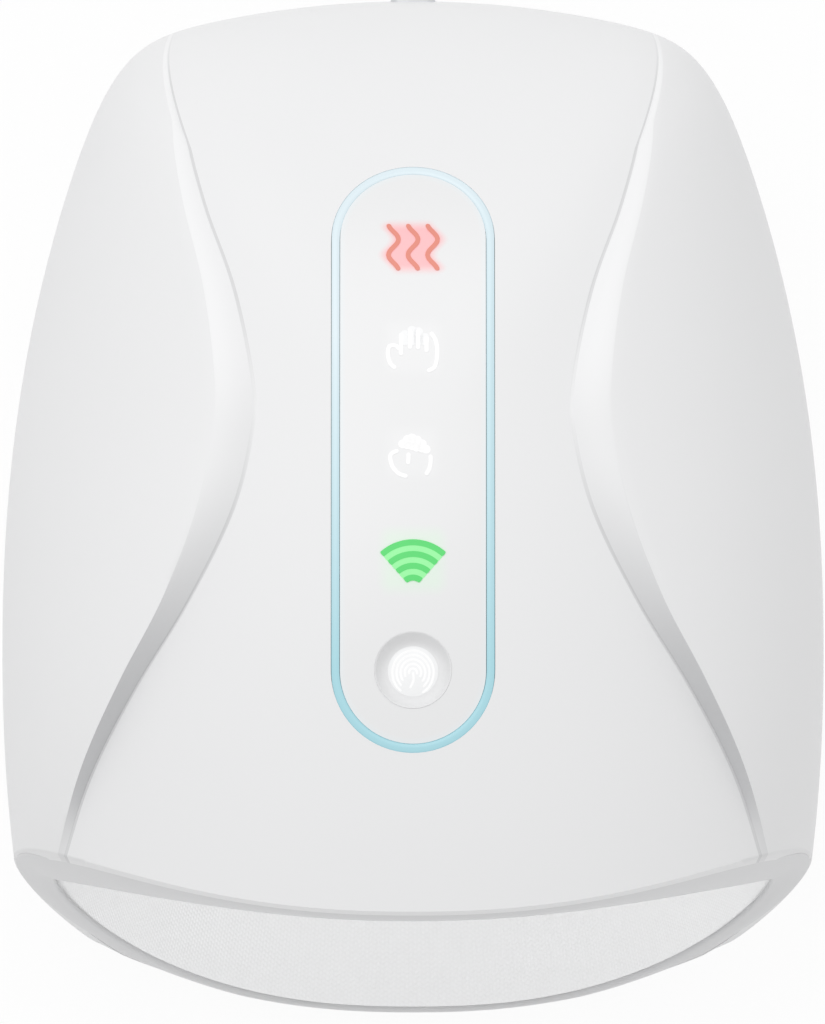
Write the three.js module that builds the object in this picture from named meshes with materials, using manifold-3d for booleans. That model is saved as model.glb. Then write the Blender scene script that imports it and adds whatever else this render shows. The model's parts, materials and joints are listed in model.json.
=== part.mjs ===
// Cordless compression hand massager: a two-part shell with a wide mouth for the hand, air bags over a
// heated palm plate, a small air pump behind the fingertips, and one push button on a lit control strip.
// Millimetres. X is to the right, Y runs from the mouth to the closed end, Z is up. The feet stand on Z = 0.
import * as THREE from "three";
import { mergeVertices } from "three/addons/utils/BufferGeometryUtils.js";
import Module from "manifold-3d";

const wasm = await Module();
wasm.setup();

// Overall shell
const BODY_LENGTH = 203.4;
const BODY_WIDTH = 165;
const BODY_HEIGHT = 95;
const SEAM_HEIGHT = 36;
const FOOT_PROUD = 2;
const WALL = 2.6;
const CLEARANCE = 0.3;
const OVERRUN = 1;

// Plan outline of the shell
const WIDEST_Y = -31.5;
const TAPER = 27.6;
const FRONT_BULGE = 26.2;
const BACK_BULGE = 18.5;
const FRONT_LEAN = 3.4;
const CHIN_UNDERCUT = 4;
const CREST_Y = -6.5;
const FRONT_DROP = 16;
const FRONT_RISE = 3;
const LOBE_RISE = 6.5;
const INSET_EASE_POWER = 12;
const FRONT_BULGE_POWER = 2.3;
const TAPER_POWER = 2.2;
const CENTRE_POWER = 4;
const CORNER_POWER = 16;
const DOME_POWER = 2.4;
const DOME_ROUND_POWER = 1.8;
const BASE_FLAT_SHARE = 0.55;
const BASE_RISE_SHARE = 0.25;

// Mouth, bezel and linings
const BEZEL_THICKNESS = 2.2;
const BEZEL_RECESS = 0.5;
const BEZEL_SIDE_FACE = 4.6;
const COLLAR_WALL = 1.2;
const COLLAR_DEPTH = 6.5;
const LINING = 1.6;
const CAVITY_BACK_ROOM = 47;
const CAVITY_END_BULGE = 8;
const MOUTH_TOP_POWER = 3;
const MOUTH_FLOOR_POWER = 3.2;
const CAVITY_CLOSE_POWER = 6;
const CEILING_EASE_SHARE = 0.34;
const FLOOR_EASE_SHARE = 0.36;

// Control strip
const STRIP_LENGTH = 122.5;
const STRIP_WIDTH = 33.7;
const STRIP_Y = -7;
const STRIP_THICKNESS = 1.4;
const LIGHT_RING_WIDTH = 1.6;
const SYMBOL_PITCH = 21.9;
const SYMBOL_WINDOW = 12;
const SYMBOL_COUNT = 4;

// Push button and its switch
const BUTTON_Y = -51.5;
const BUTTON_RADIUS = 7.7;
const BUTTON_DISH = 1.3;
const BUTTON_DISH_FLOOR = 5.2;
const BUTTON_RIM = 0.5;
const BUTTON_TRAVEL = 0.6;
const BUTTON_FLANGE = 1.2;
const BUTTON_STEM_RADIUS = 2;
const BUTTON_STEM = 2;
const SWITCH_SIDE = 6;
const SWITCH_HEIGHT = 3.1;
const SWITCH_PLUNGER_RADIUS = 1.6;
const SWITCH_PLUNGER_PROUD = 0.9;
const SWITCH_PLUNGER_LENGTH = 2.4;
const BOARD_THICKNESS = 1.2;
const SWITCH_BOARD_WIDTH = 28;
const SWITCH_BOARD_DEPTH = 11;

// Boards under the crown
const LED_BOARD_WIDTH = 34;
const LED_BOARD_MARGIN = 9;
const LIGHT_BOX_WIDTH = 19;
const LIGHT_BOX_HEIGHT = 3;
const LED_SIDE = 3.2;
const LED_HEIGHT = 1;
const MAIN_BOARD_WIDTH = 50;
const MAIN_BOARD_LENGTH = 58;
const MAIN_BOARD_Y = -3.5;
const MAIN_BOARD_PARTS = 3.4;
const BOARD_LIFT = 1.6;
const CHIP_SIDE = 10;
const CHIP_HEIGHT = 1.4;
const BUZZER_RADIUS = 4.6;
const CONNECTOR_LENGTH = 8;
const CONNECTOR_WIDTH = 3;
const LEAD_RADIUS = 1;
const LEAD_SLACK = 6;
const POST_RADIUS = 2.4;

// Air bags, frame, palm plate and battery
const BAG_THICKNESS = 6;
const BAG_SEAM = 0.8;
const BAG_ROOM = 0.7;
const FRAME_WALL = 2.4;
const PLATE_WALL = 2.2;
const HEATER = 0.6;
const BATTERY_THICKNESS = 7;
const BATTERY_WIDTH = 30;
const BATTERY_LENGTH = 56;
const BATTERY_Y = 0.5;
const TRAY_WALL = 1.2;
const NIPPLE_RADIUS = 1.7;
const NIPPLE_LENGTH = 4;
const HOSE_RADIUS = 2.1;
const HOSE_LOOP = 9;
const HOSE_BEND = 7;
// Each patch reaches from one share of the cavity's depth to another, and to a share of its half width.
const PALM_BAG_SHARES = [0.4, 0.6];
const FINGER_BAG_SHARES = [0.64, 0.88];
const BAG_HALF_SHARE = 0.72;
const BAG_PUFF_POWER = 4;
const NIPPLE_SHARE = 0.62;
const FRAME_SHARES = [0.36, 0.92];
const PLATE_SHARES = [0.4, 0.84];
const PLATE_HALF_SHARE = 0.72;
const HEATER_SHARES = [0.44, 0.8];
const HEATER_HALF_SHARE = 0.55;

// Air pump, valves and manifold behind the fingertips
const PUMP_BACK_ROOM = 33;
const PUMP_HEIGHT = 22.6;
const MOTOR_RADIUS = 10.6;
const MOTOR_LENGTH = 29;
const MOTOR_WALL = 1.4;
const PUMP_HEAD_LENGTH = 17;
const PUMP_HEAD_SIDE = 19;
const PUMP_HEAD_WALL = 1.8;
const PUMP_LEFT = -36;
const SHAFT_RADIUS = 1;
const CRANK_RADIUS = 4;
const CRANK_OFFSET = 1.6;
const CRANK_LENGTH = 5;
const ROTOR_RADIUS = 6.5;
const VALVE_SIDE = 11;
const VALVE_LENGTH = 15;
const VALVE_GAP = 2;
const VALVE_PLUNGER_RADIUS = 2;
const VALVE_PLUNGER_PROUD = 2.4;
const VALVE_PLUNGER_LENGTH = 10;
const VALVE_TRAVEL = 1;
const VALVE_LIFT = 2;
const MANIFOLD_HEIGHT = 7;
const MANIFOLD_DEPTH = 10;
const CRADLE_HEIGHT = 9;
const CRADLE_DEPTH = 13;
const HEAD_NIPPLE_SHARE = 0.7;
const PORT_SHARES = [0.14, 0.5, 0.86];
const HOSE_DROP_SHARE = 0.6;
const LEAD_RISE_SHARES = [0.4, 0.75];
const LEAD_CROSS_SHARE = 0.3;

// Charging socket at the closed end
const SOCKET_WIDTH = 9;
const SOCKET_HEIGHT = 3.4;
const SOCKET_DEPTH = 7.4;
const SOCKET_WALL = 0.5;
const SOCKET_RISE_SHARE = 0.135;
const SOCKET_BOARD_WIDTH = 18;
const SOCKET_BOARD_DEPTH = 12;
const SOCKET_BOARD_GAP = 2;

// Feet and screws
const FOOT_RADIUS = 6;
const FOOT_BEVEL = 0.6;
const FOOT_SUNK = 1;
const FOOT_X = 34;
const FOOT_FRONT_INSET = 54;
const FOOT_BACK_INSET = 63;
const BOSS_RADIUS = 3.8;
const SCREW_HEAD_RADIUS = 2.6;
const SCREW_HEAD = 1.8;
const SCREW_RADIUS = 1.3;
const SCREW_LENGTH = 14;
const SCREW_SEAT_DROP = 8;
const SMALL_SCREW_HEAD_RADIUS = 1.9;
const SMALL_SCREW_HEAD = 1.1;
const SMALL_SCREW_RADIUS = 0.8;
const SMALL_SCREW_LENGTH = 4.2;
const EAR_RADIUS = 4;
const EAR_HEIGHT = 3;
const EAR_REACH = 2.5;
const EAR_SHARES = [0.42, 0.8];
const FRONT_BOSS_SHARE = 0.26;
const BACK_BOSS_SHARE = 0.86;

// Shares of the shell's length, from the mouth (0) to the closed end (1), with the value at each.
// The crease and its ribbon are shares of the half width, and the lobe's rise a share of LOBE_RISE.
const CREASE_SHARES = [[0, 0.878], [0.1, 0.7905], [0.2, 0.679], [0.295, 0.541], [0.39, 0.4385], [0.46, 0.397],
  [0.52, 0.388], [0.63, 0.455], [0.74, 0.573], [0.84, 0.67], [0.94, 0.79], [1, 0.83]];
const RIBBON_SHARES = [[0, 0.016], [0.09, 0.0213], [0.15, 0.0272], [0.21, 0.0345], [0.27, 0.046],
  [0.335, 0.063], [0.415, 0.1], [0.5, 0.1], [0.61, 0.082], [0.74, 0.05], [0.94, 0.016], [1, 0.012]];
const LOBE_SHARES = [[0, 0], [0.03, 0.3], [0.08, 0.62], [0.15, 0.85], [0.25, 0.92], [0.35, 0.8], [0.45, 0.66],
  [0.55, 0.6], [0.69, 0.5], [0.84, 0.3], [0.94, 0.08], [1, 0]];
// Half width of the hand cavity as a share of the mouth's, by depth
const CAVITY_SHARES = [[0, 1], [0.15, 0.92], [0.4, 0.83], [0.7, 0.74], [1, 0.66]];

// Mesh fineness
const ARC_STEPS = 24;
const SMALL_ARC_STEPS = 10;
const SMALL_ARC_RADIUS = 5;
const FRONT_ROW_SHARES = [0, 0.03, 0.08, 0.14, 0.21, 0.28, 0.35, 0.41];
const BACK_ROWS = 9;
const CENTRE_COLUMNS = 5;
const LOBE_COLUMNS = 6;
const BASE_FLAT_COLUMNS = 3;
const BASE_TURN_COLUMNS = 6;
const LINING_ROWS = 9;
const FRAME_ROWS = 8;
const BAG_ROWS = 6;
const BAG_COLUMNS = 10;
const PLATE_ROWS = 5;
const PLATE_COLUMNS = 10;
const DISH_STEPS = 4;
const HOSE_STEP_DIAMETERS = 3;
const HOSE_ARC_STEPS = 4;
const SURFACE_PASSES = 8;
const MERGE_DISTANCE = 1e-4;

// Materials
const finish = (color, roughness, metalness = 0) =>
  new THREE.MeshStandardMaterial({ color, roughness, metalness });
const whiteShell = finish(0xeeeeef, 0.32);
const whiteStrip = finish(0xf3f3f4, 0.25);
const greyBezel = finish(0xb9babc, 0.42);
const lightGuide = finish(0xa6d6e0, 0.3);
const paleLining = finish(0xe9e9ea, 0.85);
const airBagSkin = finish(0xcfd3d6, 0.6);
const framePlastic = finish(0xd8d8d6, 0.55);
const heaterFilm = finish(0xb0692f, 0.5);
const greenBoard = finish(0x1f5a3a, 0.5);
const blackPlastic = finish(0x1c1d1f, 0.5);
const darkRubber = finish(0x4b4c4e, 0.9);
const steel = finish(0xb4b6b8, 0.35, 1);
const batteryWrap = finish(0x6f8fae, 0.4);
const clearHose = finish(0xdfe4e6, 0.35);
const ledLens = finish(0xf4f1da, 0.3);

// Small maths
const lerp = (from, to, share) => from + (to - from) * share;
const midway = (from, to) => (from + to) / 2;
const clamp01 = (value) => Math.min(1, Math.max(0, value));
const ease = (share) => clamp01(share) ** 2 * (3 - 2 * clamp01(share));
const signs = [-1, 1];

// Value of a share table at a share, as a smooth curve through its points.
function tableAt(table, share) {
  const last = table.length - 1;
  let k = table.findIndex(([place]) => place > share) - 1;
  if (k < 0) k = share <= table[0][0] ? 0 : last - 1;
  const slope = (i) => {
    const low = Math.max(0, i - 1);
    const high = Math.min(last, i + 1);
    return (table[high][1] - table[low][1]) / (table[high][0] - table[low][0]);
  };
  const span = table[k + 1][0] - table[k][0];
  const u = clamp01((share - table[k][0]) / span);
  const bend = (1 - u) * u * span;
  return lerp(table[k][1], table[k + 1][1], ease(u))
    + bend * (slope(k) * (1 - u) - slope(k + 1) * u);
}

// Solids

// A closed body from triangles of points, turned so that its faces point outwards.
function solidOf(points, triangles) {
  const flat = new Float32Array(points.flatMap((p) => [p.x, p.y, p.z]));
  const geometry = new THREE.BufferGeometry();
  geometry.setAttribute("position", new THREE.BufferAttribute(flat, 3));
  geometry.setIndex(triangles.flat());
  return solidFrom(geometry);
}

function solidFrom(source, matrix = new THREE.Matrix4()) {
  const bare = source.index ? source.toNonIndexed() : source;
  const placed = new THREE.BufferGeometry()
    .setAttribute("position", bare.getAttribute("position").clone())
    .applyMatrix4(matrix);
  const merged = mergeVertices(placed, MERGE_DISTANCE);
  const place = merged.attributes.position;
  const index = merged.index.array;
  const corners = [0, 1, 2].map(() => new THREE.Vector3());
  const kept = [];
  let volume = 0;
  for (let i = 0; i < index.length; i += 3) {
    const [a, b, c] = [index[i], index[i + 1], index[i + 2]];
    if (a === b || b === c || c === a) continue;
    [a, b, c].forEach((v, n) => corners[n].fromBufferAttribute(place, v));
    volume += corners[0].dot(corners[1].clone().cross(corners[2]));
    kept.push([a, b, c]);
  }
  const turned = volume < 0 ? kept.map(([a, b, c]) => [a, c, b]) : kept;
  return new wasm.Manifold(new wasm.Mesh({
    numProp: 3,
    vertProperties: place.array,
    triVerts: new Uint32Array(turned.flat()),
  }));
}

// The body between two grids of points, rows by columns: an upper sheet, a lower one and the edges between.
function sheet(upper, lower) {
  const rows = upper.length;
  const columns = upper[0].length;
  const at = (layer, j, i) => (layer * rows + j) * columns + i;
  const triangles = [];
  const quad = (a, b, c, d) => triangles.push([a, b, c], [a, c, d]);
  for (let j = 0; j < rows - 1; j++) {
    for (let i = 0; i < columns - 1; i++) {
      quad(at(0, j, i), at(0, j, i + 1), at(0, j + 1, i + 1), at(0, j + 1, i));
      quad(at(1, j, i), at(1, j + 1, i), at(1, j + 1, i + 1), at(1, j, i + 1));
    }
    const side = columns - 1;
    quad(at(0, j, 0), at(0, j + 1, 0), at(1, j + 1, 0), at(1, j, 0));
    quad(at(0, j + 1, side), at(0, j, side), at(1, j, side), at(1, j + 1, side));
  }
  const end = rows - 1;
  for (let i = 0; i < columns - 1; i++) {
    quad(at(0, 0, i + 1), at(0, 0, i), at(1, 0, i), at(1, 0, i + 1));
    quad(at(0, end, i), at(0, end, i + 1), at(1, end, i + 1), at(1, end, i));
  }
  return solidOf([...upper.flat(), ...lower.flat()], triangles);
}

// The ring body swept by a closed section: each curve is one closed loop of points along the ring.
function ring(curves) {
  const loops = curves.length;
  const count = curves[0].length;
  const at = (k, i) => (k % loops) * count + (i % count);
  const triangles = [];
  for (let k = 0; k < loops; k++)
    for (let i = 0; i < count; i++)
      triangles.push(
        [at(k, i), at(k, i + 1), at(k + 1, i + 1)],
        [at(k, i), at(k + 1, i + 1), at(k + 1, i)],
      );
  return solidOf(curves.flat(), triangles);
}

const shift = (x, y, z) => new THREE.Matrix4().makeTranslation(x, y, z);

// A box by its corners, low and high.
function block(x0, x1, y0, y1, z0, z1, frame = new THREE.Matrix4()) {
  const place = shift((x0 + x1) / 2, (y0 + y1) / 2, (z0 + z1) / 2).premultiply(frame);
  return solidFrom(new THREE.BoxGeometry(x1 - x0, y1 - y0, z1 - z0), place);
}

// A turned body about Z, from its profile of radius and height pairs.
function turned(profile, x = 0, y = 0, frame = new THREE.Matrix4()) {
  const points = profile.map(([radius, height]) => new THREE.Vector2(radius, height));
  const widest = Math.max(...points.map((p) => p.x));
  const steps = widest < SMALL_ARC_RADIUS ? SMALL_ARC_STEPS : ARC_STEPS;
  const lathe = new THREE.LatheGeometry(points, steps).rotateX(Math.PI / 2);
  return solidFrom(lathe, shift(x, y, 0).premultiply(frame));
}

const post = (radius, x, y, z0, z1, frame) =>
  turned([[0, z0], [radius, z0], [radius, z1], [0, z1]], x, y, frame);

// A round bar along X or Y.
const alongX = new THREE.Matrix4().makeRotationY(Math.PI / 2);
const alongY = new THREE.Matrix4().makeRotationX(-Math.PI / 2);
function bar(turn, radius, from, to, start) {
  const frame = turn.clone().premultiply(shift(...start));
  return post(radius, 0, 0, from, to, frame);
}

// A hose or lead: a round section carried along a curve through the points.
function hose(points, radius) {
  const path = new THREE.CatmullRomCurve3(points.map((p) => new THREE.Vector3(...p)));
  const section = new THREE.Shape().absarc(0, 0, radius, 0, 2 * Math.PI);
  const steps = Math.ceil(path.getLength() / (HOSE_STEP_DIAMETERS * 2 * radius));
  const options = { extrudePath: path, steps, curveSegments: HOSE_ARC_STEPS };
  return solidFrom(new THREE.ExtrudeGeometry(section, options));
}

// A screw: its head stands on the height of the seat, and its shank rises (1) or goes down (-1) from there.
function screw(x, y, seat, rising, radius, length, headRadius, head) {
  const profile = [[0, -head], [headRadius, -head], [headRadius, 0],
    [radius, 0], [radius, length], [0, length]];
  return turned(profile.map(([r, h]) => [r, seat + rising * h]), x, y);
}
const casingScrew = (x, y, seat, rising, length) =>
  screw(x, y, seat, rising, SCREW_RADIUS, length, SCREW_HEAD_RADIUS, SCREW_HEAD);
const boardScrew = (x, y, seat, rising) =>
  screw(x, y, seat, rising, SMALL_SCREW_RADIUS, SMALL_SCREW_LENGTH,
    SMALL_SCREW_HEAD_RADIUS, SMALL_SCREW_HEAD);

const joined = (solids) => solids.reduce((whole, solid) => whole.add(solid));
const without = (solid, cutters) => cutters.reduce((left, cutter) => left.subtract(cutter), solid);

const massager = new THREE.Group();

function piece(name, solid, material, parent = massager) {
  const mesh = solid.getMesh();
  const geometry = new THREE.BufferGeometry();
  geometry.setAttribute("position", new THREE.BufferAttribute(mesh.vertProperties, 3));
  geometry.setIndex(new THREE.BufferAttribute(mesh.triVerts, 1));
  const flat = geometry.toNonIndexed();
  flat.computeVertexNormals();
  const made = new THREE.Mesh(flat, material);
  made.name = name;
  parent.add(made);
  return solid;
}

// Shape of the shell
const HALF_WIDTH = BODY_WIDTH / 2;
const REACH = BODY_LENGTH / 2;
const HALF_GAP = CLEARANCE / 2;
const CREST_SHARE = (CREST_Y + REACH) / BODY_LENGTH;
const BEZEL_FACE = LINING + COLLAR_WALL + 3 * CLEARANCE;
const LIP_HEIGHT = FOOT_PROUD + FRONT_RISE + WALL + BEZEL_FACE;
const CROWN_FRONT = BODY_HEIGHT - FRONT_DROP;

const halfWidthAt = (y, inset) => HALF_WIDTH - inset
  - TAPER * Math.abs((y - WIDEST_Y) / (REACH - WIDEST_Y)) ** TAPER_POWER;
const crownAt = (y) => BODY_HEIGHT - FRONT_DROP * (Math.max(0, CREST_Y - y) / (CREST_Y + REACH)) ** 2;
const backAt = (x, inset) => REACH - inset - BACK_BULGE * (x / HALF_WIDTH) ** 2;

// The front face, bowed in plan: it leans back above the lip and tucks under below it.
function frontAt(x, z) {
  const bulge = FRONT_BULGE * Math.abs(x / HALF_WIDTH) ** FRONT_BULGE_POWER;
  const lean = FRONT_LEAN * Math.max(0, z - LIP_HEIGHT) / (CROWN_FRONT - LIP_HEIGHT);
  const tuck = CHIN_UNDERCUT * Math.max(0, LIP_HEIGHT - z) / LIP_HEIGHT;
  return -REACH + bulge + lean + tuck;
}

const backShareAt = (s) => Math.max(0, (s - CREST_SHARE) / (1 - CREST_SHARE));

// Rise of the side lobes above the middle surface, at a share across and a share along.
function lobeRiseAt(across, s) {
  const crease = tableAt(CREASE_SHARES, s);
  const ribbon = tableAt(RIBBON_SHARES, s);
  const rise = LOBE_RISE * Math.max(0, tableAt(LOBE_SHARES, s));
  if (across <= crease) return 0;
  if (across < crease + ribbon) return (rise * (across - crease)) / ribbon;
  return rise * (1 - ((across - crease - ribbon) / (1 - crease - ribbon)) ** 2);
}

// Share across the outer surface over a share of an inset one, and the other way round, so that the wall's
// inside follows the ribbons. The two meet at the seam.
const insetEase = (across, inset) => (inset / HALF_WIDTH) * (1 - across ** INSET_EASE_POWER);
const outerShare = (across, inset) => across * (1 - insetEase(across, inset));
const innerShare = (a, inset) => a * (1 + insetEase(Math.abs(a), inset));

function topHeight(a, s, y, inset) {
  const reach = Math.max(Math.abs(a), backShareAt(s));
  const dome = Math.max(0, 1 - reach ** DOME_POWER) ** (1 / DOME_ROUND_POWER);
  const seam = SEAM_HEIGHT + HALF_GAP;
  return seam + (crownAt(y) - inset - seam) * dome + lobeRiseAt(outerShare(Math.abs(a), inset), s);
}

function baseHeight(a, s, y, inset) {
  const reach = Math.max(Math.abs(a), backShareAt(s));
  const turn = Math.max(0, (reach - BASE_FLAT_SHARE) / (1 - BASE_FLAT_SHARE));
  const base = FOOT_PROUD + inset + FRONT_RISE * Math.max(0, 1 - s / BASE_RISE_SHARE) ** 2;
  const seam = SEAM_HEIGHT - HALF_GAP;
  return seam - (seam - base) * Math.sqrt(Math.max(0, 1 - turn ** 2));
}

// A point of the shell's surface: a is the share across from -1 to 1, s the share from mouth to closed end.
function shellPoint(a, s, inset, heightOf) {
  const e = backShareAt(s);
  const across = Math.abs(a);
  const reach = Math.max(across, e);
  const power = lerp(CENTRE_POWER, CORNER_POWER, reach ** 2);
  const pull = e > 0 ? reach / (across ** power + e ** power) ** (1 / power) : 1;
  const along = e > 0 ? CREST_SHARE + (1 - CREST_SHARE) * e * pull : s;
  const point = new THREE.Vector3(0, lerp(-REACH, REACH, along), SEAM_HEIGHT);
  for (let pass = 0; pass < SURFACE_PASSES; pass++) {
    point.x = a * pull * halfWidthAt(point.y, inset);
    point.z = heightOf(a, s, point.y, inset);
    point.y = lerp(frontAt(point.x, point.z), backAt(point.x, inset), along);
  }
  return point;
}

const backRows = Array.from({ length: BACK_ROWS }, (_, j) => {
  const angle = ((j + 1) / BACK_ROWS) * (Math.PI / 2);
  return lerp(CREST_SHARE, 1, Math.sin(angle) ** (2 / DOME_POWER));
});
const rowShares = [...FRONT_ROW_SHARES, CREST_SHARE, ...backRows];

// Shares across the top: the middle, the crease, its ribbon, and the lobe out to the seam.
function topColumns(s) {
  const crease = tableAt(CREASE_SHARES, s);
  const edge = crease + tableAt(RIBBON_SHARES, s);
  const edgeAngle = Math.asin(edge ** (DOME_POWER / 2));
  const half = [];
  for (let i = 0; i <= CENTRE_COLUMNS; i++) half.push((crease * i) / CENTRE_COLUMNS);
  for (let i = 0; i <= LOBE_COLUMNS; i++)
    half.push(Math.sin(lerp(edgeAngle, Math.PI / 2, i / LOBE_COLUMNS)) ** (2 / DOME_POWER));
  return [...half.slice(1).map((v) => -v).reverse(), ...half];
}

const baseHalf = [];
for (let i = 0; i < BASE_FLAT_COLUMNS; i++) baseHalf.push((BASE_FLAT_SHARE * i) / BASE_FLAT_COLUMNS);
for (let i = 0; i <= BASE_TURN_COLUMNS; i++)
  baseHalf.push(lerp(BASE_FLAT_SHARE, 1, Math.sin((i / BASE_TURN_COLUMNS) * (Math.PI / 2))));
const baseColumns = [...baseHalf.slice(1).map((v) => -v).reverse(), ...baseHalf];

const topGrid = (inset) =>
  rowShares.map((s) => topColumns(s).map((a) => shellPoint(innerShare(a, inset), s, inset, topHeight)));
const baseGrid = (inset) =>
  rowShares.map((s) => baseColumns.map((a) => shellPoint(a, s, inset, baseHeight)));
const flattened = (grid, z) => grid.map((row) => row.map((p) => new THREE.Vector3(p.x, p.y, z)));

// Everything under the top surface, and everything over the base surface, each out to the seam.
const topFill = (inset) => sheet(topGrid(inset), flattened(topGrid(inset), SEAM_HEIGHT - OVERRUN));
const baseFill = (inset) => sheet(flattened(baseGrid(inset), SEAM_HEIGHT + OVERRUN), baseGrid(inset));

// Shape of the hand cavity
const FRONT_CORNER_Y = -REACH + FRONT_BULGE;
const MOUTH_HALF = halfWidthAt(FRONT_CORNER_Y, WALL) - BEZEL_SIDE_FACE;
const MOUTH_TOP = CROWN_FRONT - WALL - BEZEL_FACE;
const CAVITY_END = REACH - CAVITY_BACK_ROOM;
const PUMP_Y = REACH - PUMP_BACK_ROOM;

// Stack over the hand: lining, air bag, frame, main board, then the light board under the crown.
const BAG_GROW = LINING + CLEARANCE;
const FRAME_GROW = BAG_GROW + BAG_THICKNESS + BAG_ROOM;
const FRAME_TOP_GROW = FRAME_GROW + FRAME_WALL;
const symbolY = (k) => BUTTON_Y + SYMBOL_PITCH * (k + 1);
const LED_BOARD_FRONT = symbolY(0) - LED_BOARD_MARGIN;
const LED_BOARD_BACK = symbolY(SYMBOL_COUNT - 1) + LED_BOARD_MARGIN;
const domeAlong = (y) => {
  const e = backShareAt((y + REACH) / BODY_LENGTH);
  return Math.max(0, 1 - e ** DOME_POWER) ** (1 / DOME_ROUND_POWER);
};
const crownInnerAt = (y) => SEAM_HEIGHT + (crownAt(y) - WALL - SEAM_HEIGHT) * domeAlong(y);
const LED_BOARD_TOP = Math.min(crownInnerAt(LED_BOARD_FRONT), crownInnerAt(LED_BOARD_BACK))
  - LIGHT_BOX_HEIGHT;
const LED_BOARD_BOTTOM = LED_BOARD_TOP - BOARD_THICKNESS;
const MAIN_BOARD_TOP = LED_BOARD_BOTTOM - CLEARANCE - MAIN_BOARD_PARTS;
const CAVITY_CEILING = MAIN_BOARD_TOP - BOARD_THICKNESS - BOARD_LIFT - FRAME_TOP_GROW;

// Stack under the palm: lining, heater, palm plate, then the battery on its tray.
const HEATER_GROW = LINING + CLEARANCE;
const PLATE_GROW = HEATER_GROW + HEATER + CLEARANCE;
const PLATE_UNDER_GROW = PLATE_GROW + PLATE_WALL;
const BASE_FLOOR = FOOT_PROUD + WALL;
const CELL_BOTTOM = BASE_FLOOR + TRAY_WALL + 2 * CLEARANCE;
const CAVITY_FLOOR = CELL_BOTTOM + BATTERY_THICKNESS + 2 * CLEARANCE + PLATE_UNDER_GROW;

const cavityHalfAt = (t) => MOUTH_HALF * tableAt(CAVITY_SHARES, t);

// A point of the cavity's wall, grown outwards: side is 1 for the roof and -1 for the floor.
function cavityPoint(a, t, grow, side, setback = BEZEL_THICKNESS + CLEARANCE) {
  const across = Math.abs(a);
  const roof = lerp(MOUTH_TOP, CAVITY_CEILING, ease(t / CEILING_EASE_SHARE)) - SEAM_HEIGHT;
  const floor = SEAM_HEIGHT - lerp(LIP_HEIGHT, CAVITY_FLOOR, ease(t / FLOOR_EASE_SHARE));
  const profile = side > 0
    ? 1 - across ** MOUTH_TOP_POWER
    : Math.sqrt(1 - Math.min(1, across) ** MOUTH_FLOOR_POWER);
  const closing = Math.sqrt(Math.max(0, 1 - t ** CAVITY_CLOSE_POWER));
  const x = a * (cavityHalfAt(t) + grow);
  const z = SEAM_HEIGHT + side * (HALF_GAP + ((side > 0 ? roof : floor) + grow) * profile * closing);
  const end = CAVITY_END + grow - CAVITY_END_BULGE * across ** 2;
  return new THREE.Vector3(x, lerp(frontAt(x, z) + setback, end, t), z);
}

// A grid over part of the cavity's wall; growAt may vary over the patch, given as shares of it.
const roofColumns = topColumns(0);
function cavityGrid(side, growAt, t0 = 0, t1 = 1, rows = LINING_ROWS, half = 1, columns = 0) {
  const full = side > 0 ? roofColumns : baseColumns;
  const across = columns
    ? Array.from({ length: columns + 1 }, (_, i) => half * ((2 * i) / columns - 1))
    : full;
  return Array.from({ length: rows + 1 }, (_, j) =>
    across.map((a) => cavityPoint(a, lerp(t0, t1, j / rows), growAt(a / half, j / rows), side)));
}
const evenly = (grow) => () => grow;
function cavityShell(side, inner, outer, ...patch) {
  const near = cavityGrid(side, evenly(inner), ...patch);
  const far = cavityGrid(side, evenly(outer), ...patch);
  return side > 0 ? sheet(far, near) : sheet(near, far);
}
function cavityFill(side, grow) {
  const wall = cavityGrid(side, evenly(grow));
  const plane = flattened(wall, SEAM_HEIGHT - side * OVERRUN);
  return side > 0 ? sheet(wall, plane) : sheet(plane, wall);
}

// Push button frame, square to the crown where the button sits
const buttonTilt = Math.atan2(crownAt(BUTTON_Y + OVERRUN) - crownAt(BUTTON_Y - OVERRUN), 2 * OVERRUN);
const buttonGroup = new THREE.Group();
buttonGroup.position.set(0, BUTTON_Y, crownAt(BUTTON_Y));
buttonGroup.rotation.x = buttonTilt;
buttonGroup.updateMatrix();
massager.add(buttonGroup);
const buttonFrame = buttonGroup.matrix;
const BUTTON_HOLE = BUTTON_RADIUS + CLEARANCE;
const FLANGE_TOP = -(WALL + 2 * CLEARANCE);
const FLANGE_BOTTOM = FLANGE_TOP - BUTTON_FLANGE;
const STEM_END = FLANGE_BOTTOM - BUTTON_STEM;
const PLUNGER_TOP = STEM_END - CLEARANCE;
const SWITCH_TOP = PLUNGER_TOP - SWITCH_PLUNGER_PROUD;
const SWITCH_BOTTOM = SWITCH_TOP - SWITCH_HEIGHT;
const SWITCH_BOARD_TOP = SWITCH_BOTTOM - CLEARANCE;
const SWITCH_POST_X = SWITCH_BOARD_WIDTH / 2 - POST_RADIUS;

// A column with the strip's round-ended outline, trimmed all round.
function stripColumn(trim) {
  const radius = STRIP_WIDTH / 2 - trim;
  const straight = (STRIP_LENGTH - STRIP_WIDTH) / 2;
  const outline = new THREE.Shape()
    .absarc(0, straight, radius, 0, Math.PI)
    .absarc(0, -straight, radius, Math.PI, 2 * Math.PI);
  const depth = BODY_HEIGHT + OVERRUN - SEAM_HEIGHT;
  const options = { depth, bevelEnabled: false, curveSegments: ARC_STEPS / 2 };
  return solidFrom(new THREE.ExtrudeGeometry(outline, options), shift(0, STRIP_Y, SEAM_HEIGHT));
}

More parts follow.
